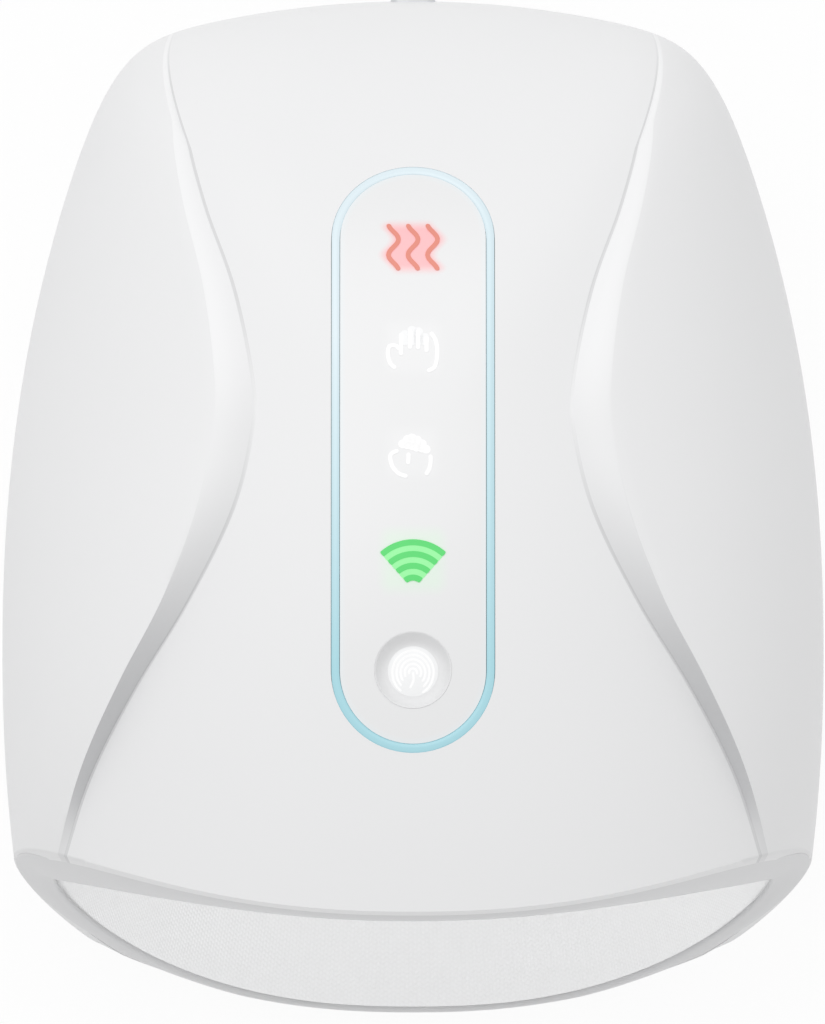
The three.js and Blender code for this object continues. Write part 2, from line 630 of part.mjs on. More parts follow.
// Screw places: pairs along the sides for the casings, and ears along the frame
const CORNER_NAMES = ["front_left", "front_right", "back_left", "back_right"];
const BOSS_SPOTS = [
  ...signs.map((side) => cavityPoint(side, FRONT_BOSS_SHARE, LINING + CLEARANCE + BOSS_RADIUS, 1)),
  ...signs.map((side) =>
    shellPoint(side * BACK_BOSS_SHARE, BACK_BOSS_SHARE, WALL + BOSS_RADIUS, baseHeight)),
].map((spot) => [spot.x, spot.y]);
const SEAT = SEAM_HEIGHT - SCREW_SEAT_DROP;
const SCREW_HOLE = SCREW_RADIUS + CLEARANCE;
const HEAD_HOLE = SCREW_HEAD_RADIUS + CLEARANCE;

const EAR_SPOTS = EAR_SHARES.flatMap((t) => signs.map((side) => {
  const edge = cavityPoint(side, t, FRAME_TOP_GROW, 1);
  return [edge.x + side * EAR_REACH, edge.y];
}));

// Boards' posts
const LED_POST_X = LED_BOARD_WIDTH / 2 - POST_RADIUS;
const LED_POST_SPOTS = [[-LED_POST_X, symbolY(0)], [LED_POST_X, symbolY(0)],
  [-LED_POST_X, symbolY(2)], [LED_POST_X, symbolY(2)]];
const MAIN_POST_X = MAIN_BOARD_WIDTH / 2 - POST_RADIUS;
const MAIN_POST_Y = MAIN_BOARD_LENGTH / 2 - POST_RADIUS;
const MAIN_POST_SPOTS = signs.flatMap((sx) =>
  signs.map((sy) => [sx * MAIN_POST_X, MAIN_BOARD_Y + sy * MAIN_POST_Y]));
const SMALL_HOLE = SMALL_SCREW_RADIUS + CLEARANCE;

// Charging socket places
const SOCKET_BOTTOM = lerp(SEAM_HEIGHT, BODY_HEIGHT, SOCKET_RISE_SHARE);
const SOCKET_BOARD_TOP = SOCKET_BOTTOM - CLEARANCE;
const SOCKET_BOARD_BOTTOM = SOCKET_BOARD_TOP - BOARD_THICKNESS;
const SOCKET_BACK = REACH - WALL;
const SOCKET_POST_X = SOCKET_BOARD_WIDTH / 2 - POST_RADIUS;
const SOCKET_POST_Y = SOCKET_BACK - SOCKET_BOARD_DEPTH + POST_RADIUS;

// Top casing: a domed shell whose side lobes stand over a smooth waisted middle
const underTop = topFill(WALL / 2);
const underWall = topFill(WALL);
const stripLayer = topFill(STRIP_THICKNESS);
const pocketLayer = topFill(STRIP_THICKNESS + CLEARANCE);
const hangingPosts = joined([
  ...BOSS_SPOTS.map(([x, y]) => post(BOSS_RADIUS, x, y, SEAM_HEIGHT + HALF_GAP, BODY_HEIGHT)),
  ...LED_POST_SPOTS.map(([x, y]) => post(POST_RADIUS, x, y, LED_BOARD_TOP + CLEARANCE, BODY_HEIGHT)),
  ...signs.map((side) =>
    post(POST_RADIUS, side * SWITCH_POST_X, 0, SWITCH_BOARD_TOP + CLEARANCE, -WALL / 2, buttonFrame)),
]).intersect(underTop);
const topShell = sheet(topGrid(0), topGrid(WALL)).add(hangingPosts);
const pocket = stripColumn(0).subtract(pocketLayer);
const symbolWindows = Array.from({ length: SYMBOL_COUNT }, (_, k) => block(
  -SYMBOL_WINDOW / 2, SYMBOL_WINDOW / 2, symbolY(k) - SYMBOL_WINDOW / 2, symbolY(k) + SYMBOL_WINDOW / 2,
  LED_BOARD_TOP, BODY_HEIGHT));
const socketHole = block(-SOCKET_WIDTH / 2 - CLEARANCE, SOCKET_WIDTH / 2 + CLEARANCE,
  PUMP_Y, REACH + OVERRUN,
  SOCKET_BOTTOM - CLEARANCE, SOCKET_BOTTOM + SOCKET_HEIGHT + CLEARANCE);
piece("top_casing", without(topShell, [
  pocket,
  ...symbolWindows,
  post(BUTTON_HOLE, 0, 0, FLANGE_TOP - OVERRUN, OVERRUN, buttonFrame),
  ...BOSS_SPOTS.map(([x, y]) =>
    post(SCREW_HOLE, x, y, SEAM_HEIGHT - OVERRUN, SEAT + SCREW_LENGTH + OVERRUN)),
  ...LED_POST_SPOTS.map(([x, y]) =>
    post(SMALL_HOLE, x, y, LED_BOARD_TOP - OVERRUN, LED_BOARD_TOP + SMALL_SCREW_LENGTH)),
  socketHole,
]), whiteShell);

// Control strip, flush in the pocket, with the light ring round it
const ringOutside = stripColumn(CLEARANCE).intersect(topFill(0)).subtract(stripLayer);
const ringInside = stripColumn(CLEARANCE + LIGHT_RING_WIDTH);
piece("light_ring", ringOutside.subtract(ringInside), lightGuide);
const panelTrim = 2 * CLEARANCE + LIGHT_RING_WIDTH;
piece("control_strip", stripColumn(panelTrim).intersect(topFill(0)).subtract(stripLayer)
  .subtract(post(BUTTON_HOLE, 0, 0, FLANGE_TOP, OVERRUN, buttonFrame)), whiteStrip);

// Push button: a dished cap, its flange under the casing wall, and a stem down to the switch
const dish = Array.from({ length: DISH_STEPS + 1 }, (_, i) => {
  const share = i / DISH_STEPS;
  return [lerp(BUTTON_DISH_FLOOR, BUTTON_RADIUS - BUTTON_RIM, share), -BUTTON_DISH * (1 - ease(share))];
});
piece("power_button", turned([
  [0, -BUTTON_DISH],
  ...dish,
  [BUTTON_RADIUS, -BUTTON_RIM],
  [BUTTON_RADIUS, FLANGE_TOP],
  [BUTTON_RADIUS + BUTTON_FLANGE, FLANGE_TOP],
  [BUTTON_RADIUS + BUTTON_FLANGE, FLANGE_BOTTOM],
  [BUTTON_STEM_RADIUS, FLANGE_BOTTOM],
  [BUTTON_STEM_RADIUS, STEM_END],
  [0, STEM_END],
]), whiteStrip, buttonGroup);
piece("switch_plunger", post(SWITCH_PLUNGER_RADIUS, 0, 0, PLUNGER_TOP - SWITCH_PLUNGER_LENGTH, PLUNGER_TOP),
  blackPlastic, buttonGroup);
const plungerBore = post(SWITCH_PLUNGER_RADIUS + CLEARANCE, 0, 0,
  PLUNGER_TOP - SWITCH_PLUNGER_LENGTH - BUTTON_TRAVEL - CLEARANCE, SWITCH_TOP + OVERRUN);
piece("tact_switch", block(-SWITCH_SIDE / 2, SWITCH_SIDE / 2, -SWITCH_SIDE / 2, SWITCH_SIDE / 2,
  SWITCH_BOTTOM, SWITCH_TOP).subtract(plungerBore), blackPlastic, buttonGroup);
piece("switch_board", block(-SWITCH_BOARD_WIDTH / 2, SWITCH_BOARD_WIDTH / 2,
  -SWITCH_BOARD_DEPTH / 2, SWITCH_BOARD_DEPTH / 2, SWITCH_BOARD_TOP - BOARD_THICKNESS, SWITCH_BOARD_TOP),
greenBoard, buttonGroup);

// Light board under the strip, its lamps, and the baffle that keeps their light apart
piece("led_board", without(block(-LED_BOARD_WIDTH / 2, LED_BOARD_WIDTH / 2, LED_BOARD_FRONT, LED_BOARD_BACK,
  LED_BOARD_BOTTOM, LED_BOARD_TOP), LED_POST_SPOTS.map(([x, y]) =>
  post(SMALL_HOLE, x, y, LED_BOARD_BOTTOM - OVERRUN, LED_BOARD_TOP + OVERRUN))), greenBoard);
["heat", "fingers", "palm", "level"].forEach((use, k) => {
  const place = symbolY(SYMBOL_COUNT - 1 - k);
  piece(`${use}_led`, block(-LED_SIDE / 2, LED_SIDE / 2, place - LED_SIDE / 2, place + LED_SIDE / 2,
    LED_BOARD_TOP + CLEARANCE, LED_BOARD_TOP + CLEARANCE + LED_HEIGHT), ledLens);
});
const baffleBlock = block(-LIGHT_BOX_WIDTH / 2, LIGHT_BOX_WIDTH / 2, LED_BOARD_FRONT, LED_BOARD_BACK,
  LED_BOARD_TOP + CLEARANCE, BODY_HEIGHT).intersect(topFill(WALL + CLEARANCE));
piece("light_baffle", without(baffleBlock, symbolWindows), framePlastic);
LED_POST_SPOTS.forEach(([x, y], k) => {
  if (k === 1 || k === 2) return;
  const where = k === 0 ? "front" : "back";
  piece(`led_board_screw_${where}`, boardScrew(x, y, LED_BOARD_BOTTOM - CLEARANCE, 1), steel);
});

// Main board on the frame's pillars
const mainBoardBottom = MAIN_BOARD_TOP - BOARD_THICKNESS;
const mainLeft = -MAIN_BOARD_WIDTH / 2;
const mainFront = MAIN_BOARD_Y - MAIN_BOARD_LENGTH / 2;
piece("main_board", without(block(mainLeft, -mainLeft, mainFront, mainFront + MAIN_BOARD_LENGTH,
  mainBoardBottom, MAIN_BOARD_TOP), MAIN_POST_SPOTS.map(([x, y]) =>
  post(SMALL_HOLE, x, y, mainBoardBottom - OVERRUN, MAIN_BOARD_TOP + OVERRUN))), greenBoard);
const partsFloor = MAIN_BOARD_TOP + CLEARANCE;
piece("control_chip", block(-CHIP_SIDE / 2, CHIP_SIDE / 2,
  MAIN_BOARD_Y - CHIP_SIDE / 2, MAIN_BOARD_Y + CHIP_SIDE / 2,
  partsFloor, partsFloor + CHIP_HEIGHT), blackPlastic);
const BUZZER_X = MAIN_BOARD_WIDTH / 4;
const BUZZER_Y = MAIN_BOARD_Y + MAIN_BOARD_LENGTH / 4;
piece("buzzer", post(BUZZER_RADIUS, -BUZZER_X, BUZZER_Y, partsFloor,
  MAIN_BOARD_TOP + MAIN_BOARD_PARTS - CLEARANCE), blackPlastic);
piece("board_connector", block(BUZZER_X - CONNECTOR_WIDTH / 2, BUZZER_X + CONNECTOR_WIDTH / 2,
  MAIN_BOARD_Y - CONNECTOR_LENGTH / 2, MAIN_BOARD_Y + CONNECTOR_LENGTH / 2,
  partsFloor, LED_BOARD_BOTTOM - CLEARANCE), blackPlastic);
MAIN_POST_SPOTS.forEach(([x, y], k) => {
  if (k === 1 || k === 2) return;
  const where = k === 0 ? "front" : "back";
  piece(`main_board_screw_${where}`, boardScrew(x, y, MAIN_BOARD_TOP + CLEARANCE, -1), steel);
});

// Bottom casing: a curved tray with bosses, and posts for the frame, the palm plate and the charging board
const overBase = baseFill(WALL / 2);
const plateUnder = cavityFill(-1, PLATE_UNDER_GROW + CLEARANCE);
const PLATE_POST_X = BATTERY_WIDTH + TRAY_WALL + 3 * CLEARANCE + POST_RADIUS;
const PLATE_POST_Y = BATTERY_LENGTH / 2 - POST_RADIUS;
const PLATE_POST_SPOTS = signs.flatMap((sx) =>
  signs.map((sy) => [sx * PLATE_POST_X, BATTERY_Y + sy * PLATE_POST_Y]));
const FOOT_SPOTS = [-REACH + FOOT_FRONT_INSET, REACH - FOOT_BACK_INSET].flatMap((y) =>
  signs.map((side) => [side * FOOT_X, y]));
const standingPosts = joined([
  ...BOSS_SPOTS.map(([x, y]) => post(BOSS_RADIUS, x, y, 0, SEAM_HEIGHT - HALF_GAP)),
  ...EAR_SPOTS.map(([x, y]) => post(EAR_RADIUS, x, y, 0, SEAM_HEIGHT - HALF_GAP)),
  ...PLATE_POST_SPOTS.map(([x, y]) =>
    post(POST_RADIUS, x, y, 0, SEAM_HEIGHT - HALF_GAP).subtract(plateUnder)),
  ...signs.map((side) => post(POST_RADIUS, side * SOCKET_POST_X, SOCKET_POST_Y, 0, SEAM_HEIGHT - HALF_GAP)),
]).intersect(overBase);
const socketPosts = signs.map((side) => post(POST_RADIUS, side * SOCKET_POST_X, SOCKET_POST_Y,
  SEAM_HEIGHT - OVERRUN, SOCKET_BOARD_BOTTOM - CLEARANCE));
const baseShell = joined([sheet(baseGrid(WALL), baseGrid(0)), standingPosts, ...socketPosts]);
piece("bottom_casing", without(baseShell, [
  ...BOSS_SPOTS.map(([x, y]) => post(SCREW_HOLE, x, y, 0, SEAM_HEIGHT + OVERRUN)),
  ...BOSS_SPOTS.map(([x, y]) => post(HEAD_HOLE, x, y, 0, SEAT)),
  ...EAR_SPOTS.map(([x, y]) => post(SCREW_HOLE, x, y, SEAT, SEAM_HEIGHT + OVERRUN)),
  ...FOOT_SPOTS.map(([x, y]) => post(FOOT_RADIUS + CLEARANCE, x, y, 0, FOOT_PROUD + FOOT_SUNK + CLEARANCE)),
]), whiteShell);

// Rubber feet, sunk a little into the base, with a bevelled edge
FOOT_SPOTS.forEach(([x, y], k) => piece(`rubber_foot_${CORNER_NAMES[k]}`, turned([
  [0, 0],
  [FOOT_RADIUS - FOOT_BEVEL, 0],
  [FOOT_RADIUS, FOOT_BEVEL],
  [FOOT_RADIUS, FOOT_PROUD + FOOT_SUNK],
  [0, FOOT_PROUD + FOOT_SUNK],
], x, y), darkRubber));

// Casing screws, driven up from below
BOSS_SPOTS.forEach(([x, y], k) =>
  piece(`casing_screw_${CORNER_NAMES[k]}`, casingScrew(x, y, SEAT - CLEARANCE, 1, SCREW_LENGTH), steel));

// Mouth bezel: a flange between the casings' front edges and the mouth, with a collar that holds the linings
const floorColumns = [...baseColumns].reverse();
function mouthLoop(grow, setback) {
  const roof = roofColumns.map((a) => cavityPoint(a, 0, grow, 1, setback));
  const floor = floorColumns.map((a) => cavityPoint(a, 0, grow, -1, setback));
  return [...roof, ...floor];
}
function casingLoop(setback) {
  const along = (a, heightOf) => {
    const p = shellPoint(a, 0, WALL + CLEARANCE, heightOf);
    return new THREE.Vector3(p.x, p.y + setback, p.z);
  };
  const roof = roofColumns.map((a) => along(innerShare(a, WALL), topHeight));
  return [...roof, ...floorColumns.map((a) => along(a, baseHeight))];
}
const collarInside = LINING + CLEARANCE;
const collarOutside = collarInside + COLLAR_WALL;
piece("mouth_bezel", ring([
  casingLoop(BEZEL_RECESS),
  mouthLoop(0, 0),
  mouthLoop(0, BEZEL_THICKNESS),
  mouthLoop(collarInside, BEZEL_THICKNESS),
  mouthLoop(collarInside, BEZEL_THICKNESS + COLLAR_DEPTH),
  mouthLoop(collarOutside, BEZEL_THICKNESS + COLLAR_DEPTH),
  mouthLoop(collarOutside, BEZEL_THICKNESS),
  casingLoop(BEZEL_THICKNESS + BEZEL_RECESS),
]), greyBezel);

// Hand cavity: fabric roof and floor that meet at the sides and at the fingertips
piece("upper_lining", cavityShell(1, 0, LINING), paleLining);
piece("lower_lining", cavityShell(-1, 0, LINING), paleLining);

// Air bags between the roof and the frame, each with a nipple up through the frame
const bags = [["palm_air_bag", ...PALM_BAG_SHARES], ["finger_air_bag", ...FINGER_BAG_SHARES]];
const nippleSpots = bags.map(([, t0, t1]) => {
  const spot = cavityPoint(NIPPLE_SHARE * BAG_HALF_SHARE, midway(t0, t1), FRAME_TOP_GROW, 1);
  return [spot.x, spot.y, spot.z];
});
const aboveRoof = cavityFill(1, BAG_GROW + BAG_SEAM);
const aboveFrame = cavityFill(1, FRAME_GROW + FRAME_WALL / 2);
const puff = (u, v) => BAG_GROW + BAG_SEAM + (BAG_THICKNESS - BAG_SEAM)
  * Math.sqrt((1 - u ** BAG_PUFF_POWER) * (1 - (2 * v - 1) ** BAG_PUFF_POWER));
bags.forEach(([name, t0, t1], k) => {
  const patch = [t0, t1, BAG_ROWS, BAG_HALF_SHARE, BAG_COLUMNS];
  const bag = sheet(cavityGrid(1, puff, ...patch), cavityGrid(1, evenly(BAG_GROW), ...patch));
  const [x, y, z] = nippleSpots[k];
  const nipple = post(NIPPLE_RADIUS, x, y, SEAM_HEIGHT, z + NIPPLE_LENGTH).subtract(aboveRoof);
  piece(name, bag.add(nipple), airBagSkin);
});

// Frame: an arch over the hand that backs the bags, with ears at the seam and pillars for the main board
const frameArch = cavityShell(1, FRAME_GROW, FRAME_TOP_GROW, ...FRAME_SHARES, FRAME_ROWS);
const framePillars = MAIN_POST_SPOTS.map(([x, y]) =>
  post(POST_RADIUS, x, y, SEAM_HEIGHT, mainBoardBottom - CLEARANCE).subtract(aboveFrame));
const EAR_BOTTOM = SEAM_HEIGHT + HALF_GAP;
const frameEars = EAR_SPOTS.map(([x, y]) => {
  const inward = Math.sign(x) * (EAR_REACH + FRAME_WALL);
  const ear = post(EAR_RADIUS, x, y, EAR_BOTTOM, EAR_BOTTOM + EAR_HEIGHT);
  const root = block(Math.min(x, x - inward), Math.max(x, x - inward), y - EAR_RADIUS, y + EAR_RADIUS,
    EAR_BOTTOM, EAR_BOTTOM + EAR_HEIGHT);
  return ear.add(root).subtract(cavityFill(1, FRAME_GROW));
});
piece("upper_frame", without(joined([frameArch, ...framePillars, ...frameEars]), [
  ...nippleSpots.map(([x, y]) => post(NIPPLE_RADIUS + CLEARANCE, x, y, SEAM_HEIGHT, BODY_HEIGHT)),
  ...EAR_SPOTS.map(([x, y]) => post(SCREW_HOLE, x, y, SEAT, EAR_BOTTOM + EAR_HEIGHT + OVERRUN)),
  ...MAIN_POST_SPOTS.map(([x, y]) =>
    post(SMALL_HOLE, x, y, mainBoardBottom - SMALL_SCREW_LENGTH, mainBoardBottom)),
]), framePlastic);
const EAR_SCREW_LENGTH = EAR_HEIGHT + SCREW_SEAT_DROP - OVERRUN;
EAR_SPOTS.forEach(([x, y], k) => piece(`frame_screw_${CORNER_NAMES[k]}`,
  casingScrew(x, y, EAR_BOTTOM + EAR_HEIGHT + CLEARANCE, -1, EAR_SCREW_LENGTH), steel));

// Palm plate with its heating film, over the battery
const platePatch = [...PLATE_SHARES, PLATE_ROWS, PLATE_HALF_SHARE, PLATE_COLUMNS];
const filmPatch = [...HEATER_SHARES, PLATE_ROWS, HEATER_HALF_SHARE, PLATE_COLUMNS];
piece("palm_plate", cavityShell(-1, PLATE_GROW, PLATE_UNDER_GROW, ...platePatch), framePlastic);
piece("heating_film", cavityShell(-1, HEATER_GROW, HEATER_GROW + HEATER, ...filmPatch), heaterFilm);
const trayHalf = BATTERY_WIDTH + 2 * CLEARANCE + TRAY_WALL;
const trayFront = BATTERY_Y - BATTERY_LENGTH / 2 - CLEARANCE - TRAY_WALL;
const trayBack = BATTERY_Y + BATTERY_LENGTH / 2 + CLEARANCE + TRAY_WALL;
const trayFloor = BASE_FLOOR + CLEARANCE;
const trayTop = trayFloor + TRAY_WALL + BATTERY_THICKNESS / 2;
piece("battery_tray", block(-trayHalf, trayHalf, trayFront, trayBack, trayFloor, trayTop)
  .subtract(block(-trayHalf + TRAY_WALL, trayHalf - TRAY_WALL, trayFront + TRAY_WALL, trayBack - TRAY_WALL,
    trayFloor + TRAY_WALL, trayTop + OVERRUN)), framePlastic);
[["left", -HALF_GAP - BATTERY_WIDTH], ["right", HALF_GAP]].forEach(([name, x]) =>
  piece(`battery_cell_${name}`, block(x, x + BATTERY_WIDTH, BATTERY_Y - BATTERY_LENGTH / 2,
    BATTERY_Y + BATTERY_LENGTH / 2, CELL_BOTTOM, CELL_BOTTOM + BATTERY_THICKNESS), batteryWrap));

// Air pump: a motor can, the shaft with its crank, and the head that the crank drives
const headLeft = PUMP_LEFT + MOTOR_LENGTH + CLEARANCE;
const headRight = headLeft + PUMP_HEAD_LENGTH;
const pumpAxis = [0, PUMP_Y, PUMP_HEIGHT];
const shaftHole = SHAFT_RADIUS + CLEARANCE;
const motorInner = PUMP_LEFT + MOTOR_WALL;
const motorRight = PUMP_LEFT + MOTOR_LENGTH;
piece("pump_motor", bar(alongX, MOTOR_RADIUS, PUMP_LEFT, motorRight, pumpAxis)
  .subtract(bar(alongX, MOTOR_RADIUS - MOTOR_WALL, motorInner, motorRight - MOTOR_WALL, pumpAxis))
  .subtract(bar(alongX, shaftHole, motorInner, motorRight + OVERRUN, pumpAxis)), steel);
const headHalf = PUMP_HEAD_SIDE / 2;
const crankStart = headLeft + PUMP_HEAD_WALL + CLEARANCE;
const crankEnd = crankStart + CRANK_LENGTH;
const crankRoom = CRANK_RADIUS + CRANK_OFFSET + CLEARANCE;
const headNippleX = headLeft + PUMP_HEAD_LENGTH * HEAD_NIPPLE_SHARE;
const headTop = PUMP_HEIGHT + headHalf;
piece("pump_head", joined([
  block(headLeft, headRight, PUMP_Y - headHalf, PUMP_Y + headHalf, PUMP_HEIGHT - headHalf, headTop),
  post(NIPPLE_RADIUS, headNippleX, PUMP_Y, headTop - OVERRUN, headTop + NIPPLE_LENGTH),
]).subtract(bar(alongX, crankRoom, headLeft + PUMP_HEAD_WALL, crankEnd + CLEARANCE, pumpAxis))
  .subtract(bar(alongX, shaftHole, headLeft - OVERRUN, crankStart, pumpAxis)), blackPlastic);
piece("pump_shaft", joined([
  bar(alongX, SHAFT_RADIUS, motorInner + CLEARANCE, crankStart + OVERRUN, pumpAxis),
  bar(alongX, ROTOR_RADIUS, motorInner + MOTOR_WALL, motorRight - 2 * MOTOR_WALL, pumpAxis),
  bar(alongX, CRANK_RADIUS, crankStart, crankEnd, [0, PUMP_Y, PUMP_HEIGHT + CRANK_OFFSET]),
]), steel);

// Valves beside the pump: a block bored for a sprung plunger that slides towards the closed end
const valveLeft = headRight + VALVE_GAP;
const valveBottom = PUMP_HEIGHT - VALVE_SIDE + VALVE_LIFT;
const valveFront = PUMP_Y - VALVE_LENGTH / 2;
const valveBack = PUMP_Y + VALVE_LENGTH / 2;
const valveX = (k) => valveLeft + VALVE_SIDE / 2 + k * (VALVE_SIDE + VALVE_GAP);
const valveMiddle = valveBottom + VALVE_SIDE / 2;
const plungerBack = valveBack + VALVE_PLUNGER_PROUD;
const plungerFront = plungerBack - VALVE_PLUNGER_LENGTH;
const boreFront = plungerFront - VALVE_TRAVEL - CLEARANCE;
["inner", "outer"].forEach((name, k) => {
  const axis = [valveX(k), 0, valveMiddle];
  const left = valveX(k) - VALVE_SIDE / 2;
  piece(`${name}_valve_body`,
    block(left, left + VALVE_SIDE, valveFront, valveBack, valveBottom, valveBottom + VALVE_SIDE)
      .subtract(bar(alongY, VALVE_PLUNGER_RADIUS + CLEARANCE, boreFront, valveBack + OVERRUN, axis)),
    blackPlastic);
  piece(`${name}_valve_plunger`, bar(alongY, VALVE_PLUNGER_RADIUS, plungerFront, plungerBack, axis), steel);
});

// Manifold across the valves, with a nipple for the pump and one for each bag
const manifoldBottom = valveBottom + VALVE_SIDE + CLEARANCE;
const manifoldTop = manifoldBottom + MANIFOLD_HEIGHT;
const manifoldLeft = valveX(0) - VALVE_SIDE / 2;
const manifoldRight = valveX(1) + VALVE_SIDE / 2;
const portX = PORT_SHARES.map((share) => lerp(manifoldLeft, manifoldRight, share));
piece("air_manifold", joined([
  block(manifoldLeft, manifoldRight, PUMP_Y - MANIFOLD_DEPTH / 2, PUMP_Y + MANIFOLD_DEPTH / 2,
    manifoldBottom, manifoldTop),
  ...portX.map((x) => post(NIPPLE_RADIUS, x, PUMP_Y, manifoldTop - OVERRUN, manifoldTop + NIPPLE_LENGTH)),
]), framePlastic);

// Cradle that carries the pump and the valves off the base
const cradleTop = valveBottom - CLEARANCE;
const cradleBlock = block(PUMP_LEFT, manifoldRight, PUMP_Y - CRADLE_DEPTH / 2, PUMP_Y + CRADLE_DEPTH / 2,
  FOOT_PROUD, cradleTop + CRADLE_HEIGHT);
piece("pump_cradle", without(cradleBlock.intersect(baseFill(WALL + CLEARANCE)), [
  bar(alongX, MOTOR_RADIUS + CLEARANCE, PUMP_LEFT - OVERRUN, headLeft, pumpAxis),
  block(headLeft - CLEARANCE, headRight + CLEARANCE, 0, REACH,
    PUMP_HEIGHT - headHalf - CLEARANCE, SEAM_HEIGHT + OVERRUN),
  block(headRight, manifoldRight + OVERRUN, 0, REACH, cradleTop, SEAM_HEIGHT + OVERRUN),
]), framePlastic);

// Hoses from the manifold to the pump and to each bag
const portTop = manifoldTop + NIPPLE_LENGTH + CLEARANCE;
const headPortTop = headTop + NIPPLE_LENGTH + CLEARANCE;
const loopBase = Math.max(headPortTop, portTop);
piece("pump_hose", hose([
  [headNippleX, PUMP_Y, headPortTop],
  [headNippleX, PUMP_Y, headPortTop + HOSE_LOOP / 2],
  [midway(headNippleX, portX[0]), PUMP_Y, loopBase + HOSE_LOOP + HOSE_RADIUS],
  [portX[0], PUMP_Y, loopBase + HOSE_LOOP / 2],
  [portX[0], PUMP_Y, portTop],
], HOSE_RADIUS), clearHose);
[["palm_hose", 0, 2], ["finger_hose", 1, 1]].forEach(([name, bag, port]) => {
  const [x, y, z] = nippleSpots[bag];
  const start = z + NIPPLE_LENGTH + CLEARANCE;
  piece(name, hose([
    [x, y, start],
    [x, y, start + HOSE_BEND / 2],
    [midway(x, portX[port]), midway(y, PUMP_Y), start + HOSE_BEND / 2],
    [portX[port], PUMP_Y - HOSE_BEND / 2, lerp(portTop, start, HOSE_DROP_SHARE)],
    [portX[port], PUMP_Y, portTop + HOSE_BEND],
    [portX[port], PUMP_Y, portTop],
  ], HOSE_RADIUS), clearHose);
});

// Lead from the motor's end, round the back of the frame and on to the main board
const leadLow = PUMP_LEFT - CLEARANCE;
const leadHigh = partsFloor + LEAD_RADIUS;
const leadEndX = -MAIN_POST_X + POST_RADIUS + LEAD_SLACK;
const leadEndY = mainFront + MAIN_BOARD_LENGTH - LEAD_SLACK;
piece("pump_lead", hose([
  [leadLow, PUMP_Y, PUMP_HEIGHT],
  [leadLow - LEAD_SLACK, PUMP_Y, PUMP_HEIGHT],
  [leadLow - LEAD_SLACK, PUMP_Y, lerp(PUMP_HEIGHT, leadHigh, LEAD_RISE_SHARES[0])],
  [lerp(leadLow, leadEndX, LEAD_CROSS_SHARE), CAVITY_END + LEAD_SLACK,
    lerp(PUMP_HEIGHT, leadHigh, LEAD_RISE_SHARES[1])],
  [leadEndX, midway(leadEndY, CAVITY_END), leadHigh],
  [leadEndX, leadEndY, leadHigh],
], LEAD_RADIUS), darkRubber);

// Charging socket and its board behind the closed end's wall
piece("charging_board", block(-SOCKET_BOARD_WIDTH / 2, SOCKET_BOARD_WIDTH / 2,
  SOCKET_BACK - SOCKET_BOARD_DEPTH, SOCKET_BACK - SOCKET_BOARD_GAP,
  SOCKET_BOARD_BOTTOM, SOCKET_BOARD_TOP), greenBoard);
const socketFront = SOCKET_BACK - SOCKET_DEPTH;
const socketHalf = SOCKET_WIDTH / 2;
piece("charging_socket", block(-socketHalf, socketHalf, socketFront, SOCKET_BACK + WALL / 2,
  SOCKET_BOTTOM, SOCKET_BOTTOM + SOCKET_HEIGHT)
  .subtract(block(-socketHalf + SOCKET_WALL, socketHalf - SOCKET_WALL,
    socketFront + SOCKET_WALL, REACH + OVERRUN,
    SOCKET_BOTTOM + SOCKET_WALL, SOCKET_BOTTOM + SOCKET_HEIGHT - SOCKET_WALL)), steel);

export default massager;
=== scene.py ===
"""Looks of a cordless hand massager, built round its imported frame.

All lengths are in metres. X is to the right, Y runs from the mouth to the closed end, and Z is up.
"""

import json
import math
from bisect import bisect_right
from functools import lru_cache

import bmesh
import bpy
from mathutils import Matrix, Vector
from mathutils.bvhtree import BVHTree

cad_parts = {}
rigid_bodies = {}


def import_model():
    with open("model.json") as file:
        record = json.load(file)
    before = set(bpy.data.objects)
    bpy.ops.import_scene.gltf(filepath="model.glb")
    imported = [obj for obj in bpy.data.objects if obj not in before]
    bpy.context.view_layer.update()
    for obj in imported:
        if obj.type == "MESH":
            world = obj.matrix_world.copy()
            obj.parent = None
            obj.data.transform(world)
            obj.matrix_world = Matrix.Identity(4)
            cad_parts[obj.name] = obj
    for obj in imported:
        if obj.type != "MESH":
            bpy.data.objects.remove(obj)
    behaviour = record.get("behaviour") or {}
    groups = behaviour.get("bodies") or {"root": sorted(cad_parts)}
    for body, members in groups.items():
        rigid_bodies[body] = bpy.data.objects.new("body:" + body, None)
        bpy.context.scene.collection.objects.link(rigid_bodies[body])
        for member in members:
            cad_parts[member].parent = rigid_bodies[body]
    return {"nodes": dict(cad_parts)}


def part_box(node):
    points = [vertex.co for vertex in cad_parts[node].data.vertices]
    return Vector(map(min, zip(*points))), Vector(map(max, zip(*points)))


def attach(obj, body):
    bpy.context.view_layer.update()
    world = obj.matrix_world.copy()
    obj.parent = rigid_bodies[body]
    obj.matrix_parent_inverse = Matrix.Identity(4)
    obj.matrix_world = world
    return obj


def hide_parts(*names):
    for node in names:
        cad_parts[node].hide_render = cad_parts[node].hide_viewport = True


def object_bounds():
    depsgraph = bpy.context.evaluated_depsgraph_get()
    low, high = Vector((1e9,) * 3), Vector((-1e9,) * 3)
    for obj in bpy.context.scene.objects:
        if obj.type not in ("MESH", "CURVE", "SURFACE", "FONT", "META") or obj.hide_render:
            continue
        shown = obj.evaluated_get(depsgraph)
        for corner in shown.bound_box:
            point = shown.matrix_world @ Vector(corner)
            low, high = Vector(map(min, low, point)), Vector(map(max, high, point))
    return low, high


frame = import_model()
CAD_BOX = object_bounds()

